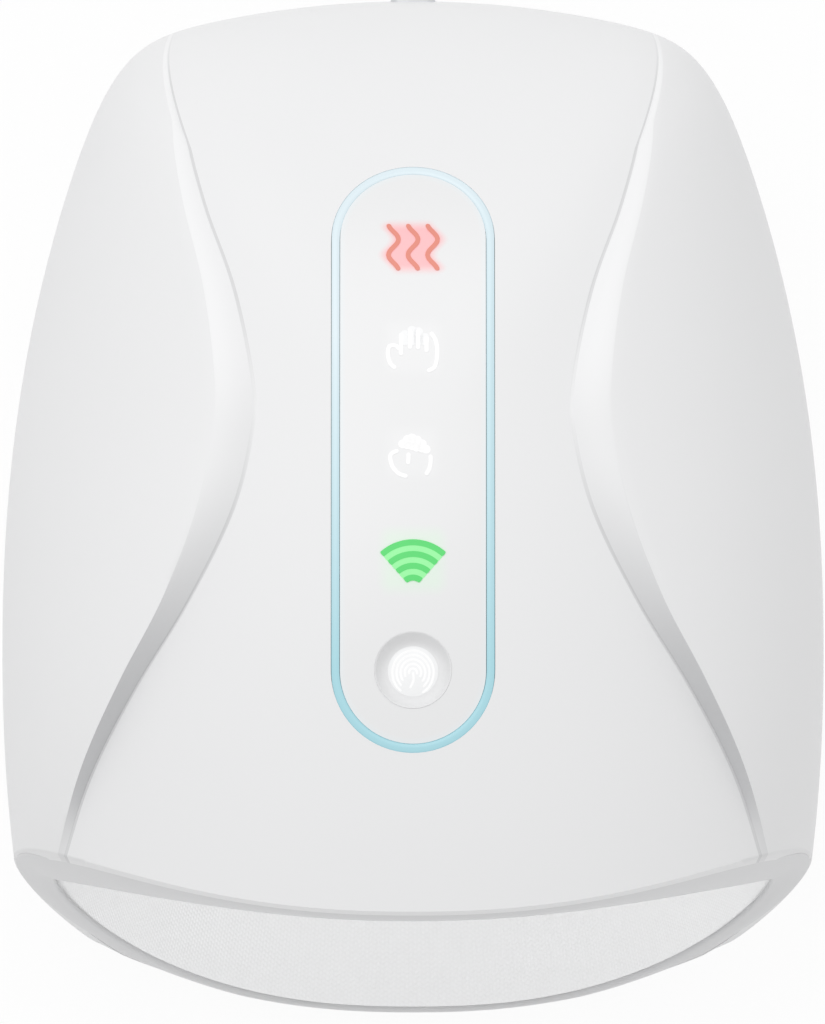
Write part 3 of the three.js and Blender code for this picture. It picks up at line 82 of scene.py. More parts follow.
bl_info = {
    "name": "Hand Massager",
    "version": (1, 0, 0),
    "blender": (4, 5, 0),
    "location": "View3D > Sidebar > Massager",
    "description": "Builds the casings, mouth, linings, lit strip and fittings of a hand massager",
    "category": "Add Mesh",
}

# Sizes read from the frame, and clearances
HALF_WIDTH = CAD_BOX[1].x
REACH = CAD_BOX[1].y
CREST = CAD_BOX[1].z
CLEARANCE = 0.0003
CLOSE_GAP = 0.00004
HALF_GAP = CLEARANCE / 2
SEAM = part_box("top_casing")[0].z - HALF_GAP
FOOT_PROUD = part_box("bottom_casing")[0].z
STRIP_LOW, STRIP_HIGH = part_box("light_ring")

# Plan and crown of the shell, as the part's source has them
WALL = 0.0026
WIDEST_Y = -0.0315
TAPER = 0.0276
TAPER_POWER = 2.2
FRONT_BULGE = 0.0262
FRONT_BULGE_POWER = 2.3
BACK_BULGE = 0.0185
FRONT_LEAN = 0.0034
CHIN_UNDERCUT = 0.004
CREST_Y = -0.0065
FRONT_DROP = 0.016
FRONT_RISE = 0.003
CORNER_POWER = 16
CENTRE_POWER = 4
DOME_POWER = 2.4
DOME_ROUND = 1.8
BASE_FLAT_SHARE = 0.55
BASE_RISE_SHARE = 0.25
SURFACE_PASSES = 6
INSET_EASE_POWER = 12
RIBBON_SOFTNESS = 0.5
RIBBON_SOFT_START, RIBBON_SOFT_SPAN = 0.25, 0.25

# Mouth, bezel and hand cavity
BEZEL_THICKNESS = 0.0022
BEZEL_RECESS = 0.0001
BEZEL_LIP = 0.0003
BEZEL_EDGE = 0.0004
TOP_COVER_START = 0.9
FLOOR_COVER_START = 0.8
CORNER_BLUNT = 0.0012
CORNER_BLUNT_POWER = 8
LINING_SETBACK = 0.0011
BEZEL_SIDE_FACE = 0.0046
BEZEL_ROUND = 0.0009
BEZEL_CROWN = 0.0003
COLLAR_WALL = 0.0012
COLLAR_DEPTH = 0.0065
LINING = 0.0016
LINING_EDGE = 0.0003
MOUTH_TOP_POWER = 3
MOUTH_FLOOR_POWER = 3.2
CAVITY_CLOSE_POWER = 6
CAVITY_END_BULGE = 0.008
CAVITY_END = REACH - 0.047
CAVITY_FLOOR = 0.019
CAVITY_CEILING = 0.0652
CEILING_EASE_SHARE = 0.34
FLOOR_EASE_SHARE = 0.36
CROWN_FRONT = CREST - FRONT_DROP
BEZEL_FACE = LINING + COLLAR_WALL + 3 * CLEARANCE
LIP_HEIGHT = FOOT_PROUD + FRONT_RISE + WALL + BEZEL_FACE
MOUTH_TOP = CROWN_FRONT - WALL - BEZEL_FACE
CREST_SHARE = (CREST_Y + REACH) / (2 * REACH)

# Lit strip and push button
STRIP_THICKNESS = 0.0014
RING_WIDTH = 0.0016
RING_GAP = 0.0001
RING_EDGE = 0.0001
RING_CROWN = 0.00004
STRIP_EDGE = 0.00005
STRIP_Y = (STRIP_LOW.y + STRIP_HIGH.y) / 2
STRIP_RADIUS = STRIP_HIGH.x
STRIP_STRAIGHT = (STRIP_HIGH.y - STRIP_LOW.y) / 2 - STRIP_RADIUS
BUTTON_Y = -0.0515
BUTTON_RADIUS = 0.0077
BUTTON_FLANGE = 0.0012
BUTTON_STEM_RADIUS = 0.002
DISH_FLOOR_RADIUS = 0.0052
DISH_POWER = 2.4

# The button's cap and print: a rounding's pairs are steps out from the radius and heights
CAP_EDGE = 0.0002
CAP_BEAD = 0.00006
CAP_ROUNDING = ((-0.00013, -0.00001), (-0.00002, 0), (0, -0.00002))
INLAY = 0.00006
PRINT_RADIUS = 0.005
PRINT_CHAMFER = 0.0001
RIDGES = 5
RIDGE_MIDDLE = -0.0003
RIDGE_FIRST = 0.0008
RIDGE_PITCH = 0.00083
RIDGE_WIDTH = 0.00042
RIDGE_LIFT = 2.2 * INLAY
RIDGE_STRETCH = 1.08
RIDGE_START, RIDGE_START_STEP = 200, 9
RIDGE_END, RIDGE_END_STEP = -20, -11
RIDGE_TAIL = ((0, -0.0002), (0.0001, -0.0018), (-0.0006, -0.0034))

# Symbols on the strip
SYMBOL_PITCH = 0.0219
SYMBOL_ORDER = ("level", "palm", "fingers", "heat")
SYMBOLS = {name: BUTTON_Y + SYMBOL_PITCH * k for k, name in enumerate(SYMBOL_ORDER, 1)}
HEAT_DROP = 0.0004
SYMBOLS["heat"] -= HEAT_DROP
HEAT_HALF = 0.00511
HEAT_SWAY = 0.001
HEAT_PITCH = 0.0039
LEVEL_APEX_DROP = 0.006
LEVEL_APEX = SYMBOLS["level"] - LEVEL_APEX_DROP
LEVEL_ARCS = (0.0024, 0.0047, 0.007, 0.0093)
LEVEL_GAPS = (0.0035, 0.0058, 0.0081)
LEVEL_HALF_ANGLE = 42
LEVEL_STRETCH = 1.03

# Air bags over the roof lining, each with its hose's nipple
BAG_GROW = LINING + CLEARANCE
BAG_SEAM = 0.0008
BAG_PUFF = 0.00494
BAG_RIPPLE = 0.05
BAG_RIPPLES = 6
BAG_HALF_SHARE = 0.72
BAG_SPANS = {"palm_air_bag": (0.4, 0.6), "finger_air_bag": (0.64, 0.88)}
NIPPLE_ACROSS = 0.81
NIPPLE_STEM_RADIUS = 0.0016
NIPPLE_STEM_DROP = 0.003
NIPPLE_PROFILE = (
    (0, -0.004), (0.0017, -0.004), (0.0017, -0.0012), (0.0015, -0.0008), (0.0017, -0.0005), (0.0012, 0),
    (0, 0),
)  # fmt: skip

# Feet, casing screws and charging socket: a section's pairs are steps outwards and heights
FOOT_DIMPLE = ((0, 0.0003), (0.0012, 0.0003), (0.0015, 0))
FOOT_GROOVES = (0.0028, 0.0042)
GROOVE_SECTION = ((-0.0003, 0), (-0.0001, 0.0003), (0.0001, 0.0003), (0.0003, 0))
FOOT_ROUNDING = ((-0.0006, 0), (-0.0002, 0.00017), (0, 0.0006))
SCREW_HEAD_HEIGHT = 0.0018
SCREW_FACE_SHARE = 0.7
SCREW_TURNS = 12
SCREW_TIP_SHARE = 0.8
SHANK_SHARE = 0.5
THREAD_ROOT_SHARE = 0.82
RECESS_ARM = 0.00032
RECESS_SHARE = 0.6
RECESS_DEPTH = 0.0011
SOCKET_ROUNDING_SHARE = 0.9
SOCKET_WALL = 0.0004
SOCKET_LIP = ((0, -0.0002), (-0.00015, 0), (-SOCKET_WALL, -0.0001))
SOCKET_BACK = 0.001
SOCKET_LINE = 0.00001
TONGUE_HALF = 0.00035
TONGUE_BACK, TONGUE_FRONT = 0.0008, 0.0012
TONGUE_EDGE = 0.00015
CONTACTS = 6
CONTACT_HALF = 0.00012
CONTACT_HALF_THICKNESS = 0.00003
CONTACT_HEIGHT = 0.00036
CONTACT_BACK, CONTACT_FRONT = 0.004, 0.0014
CONTACT_SPREAD_SHARE = 0.8

# Shares of the shell's length, from the mouth (0) to the closed end (1), with the value at each
CREASE_SHARES = (
    (0, 0.878), (0.1, 0.7905), (0.2, 0.674), (0.295, 0.545), (0.39, 0.4385), (0.46, 0.397),
    (0.52, 0.39), (0.63, 0.4585), (0.74, 0.5815), (0.84, 0.6935), (0.94, 0.797), (1, 0.83),
)  # fmt: skip
RIBBON_SHARES = (
    (0, 0.016), (0.09, 0.0213), (0.15, 0.0275), (0.21, 0.036), (0.27, 0.0485), (0.335, 0.068),
    (0.415, 0.092), (0.5, 0.1), (0.61, 0.082), (0.74, 0.05), (0.94, 0.016), (1, 0.012),
)  # fmt: skip
LOBE_SHARES = (
    (0, 0), (0.03, 0.3), (0.08, 0.62), (0.15, 0.85), (0.25, 0.92), (0.35, 0.8), (0.45, 0.66),
    (0.55, 0.6), (0.69, 0.5), (0.84, 0.3), (0.94, 0.08), (1, 0),
)  # fmt: skip
CAVITY_SHARES = ((0, 1), (0.15, 0.92), (0.4, 0.83), (0.7, 0.74), (1, 0.66))

# Stops along the shell of the ribbons' painted shade, painted light and painted shadow lines, with the
# strengths there where they aren't 0 and 1
PAINTED_SHADE_FADE = (0.47, 0.15)
PAINTED_SHADE_TIP = (0.0, 0.08, 0.3, 1)
PAINTED_LIGHT_RISE = (0.46, 0.58)
SHADOW_LINE_WAIST, SHADOW_LINE_WAIST_REACH = 0.5, 0.125
SHADOW_LINE_END = (0.9, 0.99, 0.5, 0)

# Light of the strip: each symbol's glow is its colour, reach, fade, strength, sway and the sway's pace
WHITE = (1.0, 1.0, 1.0)
PALE_LIGHT = (0.93, 0.935, 0.94)
RING_LIT = 0.5
RING_PALE = (0.74, 0.85, 0.9)
RING_LEFT_PALER = 0.55
RING_SOFTNESS = 0.3
RIM_LIGHT = (0.78, 0.92, 0.97)
RIM_REACH = 0.0016
RIM_STRENGTH = 0.35
GLOW_STRENGTH = 0.07
SYMBOL_LAMPS = (
    ("heat", (0.95, 0.42, 0.44), 0.0036, 0.0028, 0.8, HEAT_SWAY, 1.5 * math.pi / HEAT_HALF),
    ("fingers", WHITE, 0.0034, 0.0036, 0.1, 0.0, 0.0),
    ("palm", WHITE, 0.003, 0.0036, 0.1, 0.0, 0.0),
    ("level", (0.6, 1.0, 0.62), 0.0042, 0.0036, 0.22, 0.0, 0.0),
)
KNIT_SHADOW = 0.96

# Fineness of the forms, and how their columns and rows are shared out
TOP_COLUMNS, TOP_ROWS = 140, 120
CENTRE_COLUMN_SHARE, RIBBON_COLUMN_SHARE = 0.4, 0.6
CREASE_GATHER, SEAM_GATHER = 1.5, 1.8
MOUTH_GATHER, END_GATHER = 1.3, 1.8
BASE_COLUMNS, BASE_ROWS = 100, 90
FLAT_COLUMN_SHARE, FRONT_ROW_SHARE = 0.4, 0.4
LINING_COLUMNS, LINING_ROWS = 90, 70
LINING_GATHER = 1.7
BAG_COLUMNS, BAG_ROWS = 44, 26
STRIP_COLUMNS, STRIP_ROWS = 36, 96
RING_COLUMNS = 192
BEZEL_STEPS = 5
DISH_STEPS = 12
RIDGE_ROWS = 48
STROKE_COLUMNS, STROKE_ROWS, STROKE_STEPS = 4, 36, 96
ROUND_STEPS, FINE_ROUND_STEPS = 64, 96
SCREW_STEPS = 40
NIPPLE_STEPS = 24
EDGE_SEGMENTS, EDGE_ANGLE = 3, 58
JOIN_DISTANCE = 1e-7


# Settings


def length(name, default, description):
    """A length that a user may change."""
    return bpy.props.FloatProperty(
        name=name, description=description, default=default, min=0, unit="LENGTH", precision=5
    )


def share(name, default, description):
    """A share from 0 to 1 that a user may change."""
    return bpy.props.FloatProperty(
        name=name, description=description, default=default, min=0, max=1, subtype="FACTOR"
    )


def power(name, default, description):
    """A lamp's power that a user may change."""
    return bpy.props.FloatProperty(name=name, description=description, default=default, min=0, unit="POWER")


def colour(name, default, description):
    """A colour that a user may change."""
    return bpy.props.FloatVectorProperty(
        name=name, description=description, default=default, min=0, max=1, size=3, subtype="COLOR"
    )


class CasingSettings(bpy.types.PropertyGroup):
    """Sizes and colours of the moulded casings and the mouth."""

    lobe_rise: length("Lobe rise", 0.0065, "Height of the side lobes over the waisted middle")
    edge_round: length("Edge rounding", 0.0004, "Radius of the casings' cut edges")
    shell: colour("Casings", (0.86, 0.862, 0.868), "Colour of the two casings")
    bezel: colour("Bezel", (0.74, 0.742, 0.75), "Colour of the mouth's bezel")
    # Painted shade: the ribbons' colour towards the mouth, greyer than the casings
    ribbon: colour("Ribbons", (0.6, 0.603, 0.612), "Colour of the ribbons at the mouth")
    # Painted light: a paler colour on the ribbons' upper halves
    ribbon_painted_light: colour("Upper ribbons", (0.9, 0.902, 0.908), "Colour of the ribbons' upper halves")
    # Painted shadow: fine darker lines beside the ribbons' creases
    crease: colour("Creases", (0.55, 0.553, 0.56), "Colour of the fine lines beside the ribbons")
    gloss: share("Roughness", 0.5, "Roughness of the casings")


class SoftSettings(bpy.types.PropertyGroup):
    """Sizes and colours of the linings, the air bags and the feet."""

    stitch: length("Stitch", 0.0006, "Width of one stitch of the linings' knit")
    lining: colour("Linings", (0.9, 0.902, 0.905), "Colour of the linings")
    bag: colour("Air bags", (0.7, 0.73, 0.75), "Colour of the air bags' film")
    foot: colour("Feet", (0.07, 0.072, 0.075), "Colour of the rubber feet")


class StripSettings(bpy.types.PropertyGroup):
    """Sizes and colours of the control strip, its lights and the push button."""

    dish: length("Button dish", 0.0027, "Depth of the push button's dish")
    line: length("Symbol line", 0.00095, "Width of the symbols' lines")
    panel: colour("Strip", (0.835, 0.837, 0.842), "Colour of the control strip")
    ring: colour("Light ring", (0.4, 0.69, 0.765), "Colour of the light ring at the mouth's end")
    heat: colour("Heat symbol", (0.8, 0.265, 0.2), "Colour of the heat symbol")
    level: colour("Level symbol", (0.1, 0.72, 0.17), "Colour of the level symbol")


class StageSettings(bpy.types.PropertyGroup):
    """Floor, lamps and camera."""

    floor: colour("Floor", (0.9, 0.9, 0.9), "Colour of the floor")
    ambient: share("Ambient light", 0.72, "Strength of the even light from all round")
    key: power("Key lamp", 4.9, "Power of the lamp behind, to the left")
    mouth: power("Mouth lamp", 5.9, "Power of the lamp that lights the linings alone")
    elevation: bpy.props.FloatProperty(
        name="Elevation",
        description="Camera's angle above the floor",
        default=math.radians(75),
        subtype="ANGLE",
    )


# Small maths


def lerp(start, end, part):
    """The value at a share of the way from start to end."""
    return start + (end - start) * part


def ease(part):
    """A share eased at both ends."""
    part = min(1.0, max(0.0, part))
    return part * part * (3 - 2 * part)


@lru_cache(maxsize=None)
def value_at(table, place):
    """Value of a share table at a place, as a smooth curve through its points."""
    last = len(table) - 1
    k = min(last - 1, max(0, bisect_right([row[0] for row in table], place) - 1))

    def slope(i):
        low, high = max(0, i - 1), min(last, i + 1)
        return (table[high][1] - table[low][1]) / (table[high][0] - table[low][0])

    span = table[k + 1][0] - table[k][0]
    part = min(1.0, max(0.0, (place - table[k][0]) / span))
    bend = (1 - part) * part * span * (slope(k) * (1 - part) - slope(k + 1) * part)
    return lerp(table[k][1], table[k + 1][1], ease(part)) + bend


def curve_through(*points):
    """A smooth flat curve through the points, as a function of a share from 0 to 1."""
    knots = [Vector(point) for point in points]

    def at(part):
        place = part * (len(knots) - 1)
        k = min(int(place), len(knots) - 2)
        t = place - k
        before, start = knots[max(k - 1, 0)], knots[k]
        end, after = knots[k + 1], knots[min(k + 2, len(knots) - 1)]
        return 0.5 * (
            2 * start
            + (end - before) * t
            + (2 * before - 5 * start + 4 * end - after) * t**2
            + (3 * start - before - 3 * end + after) * t**3
        )

    return at


# Surfaces of the shell and the cavity


def half_width_at(y, inset):
    """Half the shell's width at a place along it."""
    return HALF_WIDTH - inset - TAPER * abs((y - WIDEST_Y) / (REACH - WIDEST_Y)) ** TAPER_POWER


def crown_at(y):
    """Height of the crown along the middle, in front of the dome's turn."""
    return CREST - FRONT_DROP * (max(0.0, CREST_Y - y) / (CREST_Y + REACH)) ** 2


def back_at(x, inset):
    """Place of the closed end's face at a distance from the middle."""
    return REACH - inset - BACK_BULGE * (x / HALF_WIDTH) ** 2


def front_at(x, z):
    """Place of the mouth's face, which leans back above the lip and tucks under below it."""
    bulge = FRONT_BULGE * abs(x / HALF_WIDTH) ** FRONT_BULGE_POWER
    lean = FRONT_LEAN * max(0.0, z - LIP_HEIGHT) / (CROWN_FRONT - LIP_HEIGHT)
    tuck = CHIN_UNDERCUT * max(0.0, LIP_HEIGHT - z) / LIP_HEIGHT
    return -REACH + bulge + lean + tuck


def back_share(s):
    """How far a place lies on the way from the crest to the closed end."""
    return max(0.0, (s - CREST_SHARE) / (1 - CREST_SHARE))


def lobe_rise(across, s):
    """Rise of a side lobe over the middle: a ramp up its ribbon, crisp towards the mouth and soft behind."""
    crease = value_at(CREASE_SHARES, s)
    ribbon = value_at(RIBBON_SHARES, s)
    if across <= crease:
        return 0.0
    rise = bpy.context.scene.casing_settings.lobe_rise * max(0.0, value_at(LOBE_SHARES, s))
    if across < crease + ribbon:
        part = (across - crease) / ribbon
        soft = RIBBON_SOFTNESS * ease((s - RIBBON_SOFT_START) / RIBBON_SOFT_SPAN)
        return rise * (part + soft * part * (1 - part))
    return rise * (1 - ((across - crease - ribbon) / (1 - crease - ribbon)) ** 2)


def inset_ease(across, inset):
    """How far a share across moves between the outer surface and an inset one, which meet at the seam."""
    return inset / HALF_WIDTH * (1 - across**INSET_EASE_POWER)


def inner_share(a, inset):
    """Share across an inset surface under a share of the outer one, so that the wall follows the ribbons."""
    return a * (1 + inset_ease(abs(a), inset))


def top_height(a, s, y, inset):
    """Height of the top casing's surface."""
    across = abs(a) * (1 - inset_ease(abs(a), inset))
    reach = max(abs(a), back_share(s))
    dome = max(0.0, 1 - reach**DOME_POWER) ** (1 / DOME_ROUND)
    seam = SEAM + HALF_GAP
    return seam + (crown_at(y) - inset - seam) * dome + lobe_rise(across, s)


def base_height(a, s, y, inset):
    """Height of the bottom casing's surface."""
    reach = max(abs(a), back_share(s))
    turn = max(0.0, (reach - BASE_FLAT_SHARE) / (1 - BASE_FLAT_SHARE))
    base = FOOT_PROUD + inset + FRONT_RISE * max(0.0, 1 - s / BASE_RISE_SHARE) ** 2
    seam = SEAM - HALF_GAP
    return seam - (seam - base) * math.sqrt(max(0.0, 1 - turn**2))


def shell_point(a, s, inset, height):
    """A point of the shell: a is the share across from -1 to 1, s the share from mouth to closed end."""
    e = back_share(s)
    reach = max(abs(a), e)
    power = lerp(CENTRE_POWER, CORNER_POWER, reach**2)
    pull, along = 1.0, s
    if e > 0:
        pull = reach / (abs(a) ** power + e**power) ** (1 / power)
        along = CREST_SHARE + (1 - CREST_SHARE) * e * pull
    x, y, z = 0.0, lerp(-REACH, REACH, along), SEAM
    for _ in range(SURFACE_PASSES):
        x = a * pull * half_width_at(y, inset)
        z = height(a, s, y, inset)
        y = lerp(front_at(x, z), back_at(x, inset), along)
    return Vector((x, y, z))


MOUTH_HALF = half_width_at(-REACH + FRONT_BULGE, WALL) - BEZEL_SIDE_FACE


def cavity_point(a, t, grow, side, setback=BEZEL_THICKNESS + CLEARANCE):
    """A point of the cavity's wall, grown outwards: side is 1 for the roof and -1 for the floor."""
    across = min(1.0, abs(a))
    if side > 0:
        rise = lerp(MOUTH_TOP, CAVITY_CEILING, ease(t / CEILING_EASE_SHARE)) - SEAM
        profile = 1 - across**MOUTH_TOP_POWER
    else:
        rise = SEAM - lerp(LIP_HEIGHT, CAVITY_FLOOR, ease(t / FLOOR_EASE_SHARE))
        profile = math.sqrt(1 - across**MOUTH_FLOOR_POWER)
    closing = math.sqrt(max(0.0, 1 - t**CAVITY_CLOSE_POWER))
    x = a * (MOUTH_HALF * value_at(CAVITY_SHARES, t) + grow)
    z = SEAM + side * (HALF_GAP + (rise + grow) * profile * closing)
    end = CAVITY_END + grow - CAVITY_END_BULGE * across**2
    return Vector((x, lerp(front_at(x, z) + setback, end, t), z))


# Forms


def grid(columns, rows):
    """A flat grid from -0.5 to 0.5 both ways."""
    form = bmesh.new()
    bmesh.ops.create_grid(form, x_segments=columns, y_segments=rows, size=0.5)
    return form


def shape(verts, surface):
    """Moves a grid's points onto a surface, given as a point for a place (u, v) from 0 to 1."""
    for vert in verts:
        vert.co = surface(vert.co.x + 0.5, vert.co.y + 0.5)


def extruded(form, parts):
    """Doubles the given parts with walls between, and gives the new points."""
    made = bmesh.ops.extrude_face_region(form, geom=parts, use_keep_orig=True)["geom"]
    return [part for part in made if isinstance(part, bmesh.types.BMVert)]


def closed(form):
    """Joins a form's points that lie together, and turns its faces outwards."""
    bmesh.ops.remove_doubles(form, verts=form.verts[:], dist=JOIN_DISTANCE)
    bmesh.ops.recalc_face_normals(form, faces=form.faces[:])
    return form


def slab(columns, rows, upper, lower, layer=None, values=None):
    """A closed sheet between two surfaces.

    A layer keeps a pair of values at each corner of a face, from the corner's place and the face's middle.
    """
    form = grid(columns, rows)
    if layer:
        kept = form.loops.layers.uv.new(layer)
        half = Vector((0.5, 0.5, 0))
        for face in form.faces:
            middle = face.calc_center_median() + half
            for loop in face.loops:
                loop[kept].uv = values(loop.vert.co + half, middle)
    low = form.verts[:]
    high = extruded(form, form.verts[:] + form.edges[:] + form.faces[:])
    shape(low, lower)
    shape(high, upper)
    return closed(form)


def band(columns, rows, surface):
    """A ring body: u runs round the ring and v round its section, and both close on themselves."""
    form = grid(columns, rows)
    shape(form.verts, surface)
    return closed(form)


def turned(profile, steps=ROUND_STEPS):
    """A body turned about Z from its profile of radius and height pairs, from axis to axis."""
    form = bmesh.new()
    verts = [form.verts.new((radius, 0, height)) for radius, height in profile]
    edges = [form.edges.new(pair) for pair in zip(verts, verts[1:])]
    bmesh.ops.spin(
        form,
        geom=verts + edges,
        cent=(0, 0, 0),
        axis=(0, 0, 1),
        angle=math.tau,
        steps=steps,
        use_merge=True,
        use_duplicate=False,
    )
    return closed(form)


def post(radius, x, y, low, high, steps=ROUND_STEPS):
    """A plain upright post, for cutting and joining."""
    form = bmesh.new()
    place = Matrix.Translation((x, y, (low + high) / 2))
    bmesh.ops.create_cone(
        form, cap_ends=True, segments=steps, radius1=radius, radius2=radius, depth=high - low, matrix=place
    )
    return form


def box(low, high, edge=0.0):
    """A block between two corners, with its edges rounded."""
    form = bmesh.new()
    low, high = Vector(low), Vector(high)
    place = Matrix.Translation((low + high) / 2) @ Matrix.Diagonal((*(high - low), 1))
    bmesh.ops.create_cube(form, size=1, matrix=place)
    if edge:
        bmesh.ops.bevel(
            form, geom=form.edges[:], offset=edge, segments=3, profile=0.5, affect="EDGES", material=-1
        )
    return form


def mesh_of(form, name="part"):
    """A form as a mesh."""
    mesh = bpy.data.meshes.new(name)
    form.to_mesh(mesh)
    form.free()
    return mesh


def scene_object(name, data):
    """An object of the scene, made from its data."""
    made = bpy.data.objects.new(name, data)
    bpy.context.scene.collection.objects.link(made)
    return made


def gathered(*forms):
    """Several forms as one."""
    whole = bmesh.new()
    for form in forms:
        mesh = mesh_of(form)
        whole.from_mesh(mesh)
        bpy.data.meshes.remove(mesh)
    return whole


def combined(form, operation, other):
    """A form cut by, joined with or kept within another: DIFFERENCE, UNION or INTERSECT."""
    body, tool = scene_object("body", mesh_of(form)), scene_object("tool", mesh_of(other))
    change = body.modifiers.new("combine", "BOOLEAN")
    change.operation, change.solver, change.object = operation, "EXACT", tool
    result = bmesh.new()
    result.from_object(body, bpy.context.evaluated_depsgraph_get())
    if not result.faces:
        raise RuntimeError("combining two forms left nothing")
    for used in (body, tool):
        mesh = used.data
        bpy.data.objects.remove(used)
        bpy.data.meshes.remove(mesh)
    return result


def stroke(path, width, ground, lift, rows=STROKE_ROWS, rounding=1.0):
    """A flat line laid along a path at a height over the ground, its ends round or nearly square."""
    places = [path(k / STROKE_STEPS) for k in range(STROKE_STEPS + 1)]
    runs = [0.0]
    for before, after in zip(places, places[1:]):
        runs.append(runs[-1] + (after - before).length)
    half = width / 2

    def line(u, v, height):
        run = runs[-1] * (1 - math.cos(math.pi * v)) / 2
        k = min(STROKE_STEPS - 1, max(0, bisect_right(runs, run) - 1))
        place = places[k].lerp(places[k + 1], (run - runs[k]) / (runs[k + 1] - runs[k]))
        ahead = (places[min(STROKE_STEPS, k + 2)] - places[max(0, k - 1)]).normalized()
        end = min(1.0, min(run, runs[-1] - run) / (half * rounding))
        reach = (2 * u - 1) * half * math.sqrt(max(0.0, 1 - (1 - end) ** 2))
        x, y = place.x - ahead.y * reach, place.y + ahead.x * reach
        return Vector((x, y, ground(x, y) + height))

    return slab(STROKE_COLUMNS, rows, lambda u, v: line(u, v, lift), lambda u, v: line(u, v, lift - INLAY))


def arc(y, radius, start, end, stretch=1.0):
    """An arc about a place on the middle line, between two angles in degrees."""

    def at(part):
        angle = math.radians(lerp(start, end, part))
        return Vector((radius * math.cos(angle), y + radius * stretch * math.sin(angle)))

    return at


# Materials


def fill(tree, sockets, values):
    """Sets or links sockets by their names or numbers."""
    for key, value in values.items():
        if isinstance(value, bpy.types.NodeSocket):
            tree.links.new(value, sockets[key])
        else:
            sockets[key].default_value = value


def add(tree, kind, inputs=None, **settings):
    """Adds a node with its settings and inputs, and gives its outputs."""
    made = tree.nodes.new("ShaderNode" + kind)
    for name, value in settings.items():
        setattr(made, name, value)
    fill(tree, made.inputs, inputs or {})
    return made.outputs


def maths(tree, operation, *values, clamp=False):
    """The output of a Math node on values or sockets."""
    return add(tree, "Math", dict(enumerate(values)), operation=operation, use_clamp=clamp)[0]


def mixed(tree, factor, first, second):
    """A mix of two colours."""
    return add(tree, "Mix", {0: factor, 6: first, 7: second}, data_type="RGBA")[2]


def scaled(tree, tint, factor):
    """A colour, darker or brighter by a factor."""
    return add(tree, "VectorMath", {0: tint, "Scale": factor}, operation="SCALE")[0]


def ramp(tree, value, start, end, low=0.0, high=1.0, kind="LINEAR"):
    """Runs from low to high while the value runs from start to end."""
    return add(tree, "MapRange", {0: value, 1: start, 2: end, 3: low, 4: high}, interpolation_type=kind)[0]


def beyond(tree, value, limit):
    """How far a value lies past a limit, on either side of nought."""
    return maths(tree, "MAXIMUM", maths(tree, "SUBTRACT", maths(tree, "ABSOLUTE", value), limit), 0.0)


def diagonal(tree, first, second):
    """Length of the diagonal over two sides."""
    squared = maths(tree, "MULTIPLY_ADD", first, first, maths(tree, "MULTIPLY", second, second))
    return maths(tree, "SQRT", squared)


def noise(tree, place, scale, detail):
    """A soft noise from 0 to 1."""
    return add(tree, "TexNoise", {"Vector": place, "Scale": scale, "Detail": detail})["Fac"]


def bump(tree, strength, height, distance):
    """The normal of a surface with a height over it."""
    return add(tree, "Bump", {"Strength": strength, "Distance": distance, "Height": height})["Normal"]


def new_group(name, inputs, *outputs):
    """A shader node group that takes a place and named values."""
    kinds = {"Vector": "Vector", "Normal": "Vector", "Color": "Color"}
    tree = bpy.data.node_groups.new(name, "ShaderNodeTree")

    def socket(label, way):
        kind = "NodeSocket" + kinds.get(label, "Float")
        return tree.interface.new_socket(label, in_out=way, socket_type=kind)

    socket("Vector", "INPUT")
    for label, value in inputs.items():
        socket(label, "INPUT").default_value = value
    for label in outputs:
        socket(label, "OUTPUT")
    return tree, tree.nodes.new("NodeGroupInput").outputs, tree.nodes.new("NodeGroupOutput").inputs


@lru_cache(maxsize=None)
def moulded_grain():
    """The fine grain of a moulded surface: varied roughness and a slight bump."""
    tree, given, out = new_group(
        "Moulded Grain", {"Scale": 900, "Depth": 0.1, "Roughness": 0.4, "Spread": 0.06}, "Roughness", "Normal"
    )
    fine = noise(tree, given["Vector"], scale=given["Scale"], detail=3)
    wide = noise(tree, given["Vector"], scale=35, detail=2)
    shift = maths(tree, "SUBTRACT", wide, 0.5)
    uneven = maths(tree, "MULTIPLY", shift, given["Spread"])
    rough = maths(tree, "ADD", given["Roughness"], uneven, clamp=True)
    fill(tree, out, {"Roughness": rough, "Normal": bump(tree, given["Depth"], fine, distance=0.0001)})
    return tree


@lru_cache(maxsize=None)
def uneven_tint():
    """A colour that varies a little over the surface."""
    tree, given, out = new_group("Uneven Tint", {"Color": (1, 1, 1, 1), "Scale": 20, "Amount": 0.05}, "Color")
    clouds = noise(tree, given["Vector"], scale=given["Scale"], detail=4)
    shade = maths(tree, "SUBTRACT", 1.0, maths(tree, "MULTIPLY", clouds, given["Amount"]))
    fill(tree, out, {"Color": scaled(tree, given["Color"], shade)})
    return tree


@lru_cache(maxsize=None)
def fine_knit():
    """A knitted surface: rows of small loops that follow the cloth."""
    tree, given, out = new_group("Fine Knit", {"Stitch": 0.001, "Depth": 0.4}, "Shade", "Normal")
    turn = maths(tree, "DIVIDE", math.pi, given["Stitch"])
    place = add(tree, "SeparateXYZ", {0: given["Vector"]})
    across, along = (maths(tree, "MULTIPLY", place[axis], turn) for axis in "XY")
    lean = maths(tree, "MULTIPLY", maths(tree, "SINE", across), 0.8)
    loops = maths(tree, "ABSOLUTE", maths(tree, "SINE", maths(tree, "ADD", along, lean)))
    ribs = maths(tree, "ABSOLUTE", maths(tree, "SINE", across))
    height = maths(tree, "MULTIPLY", loops, ribs)
    fill(tree, out, {"Shade": height, "Normal": bump(tree, given["Depth"], height, distance=0.0003)})
    return tree


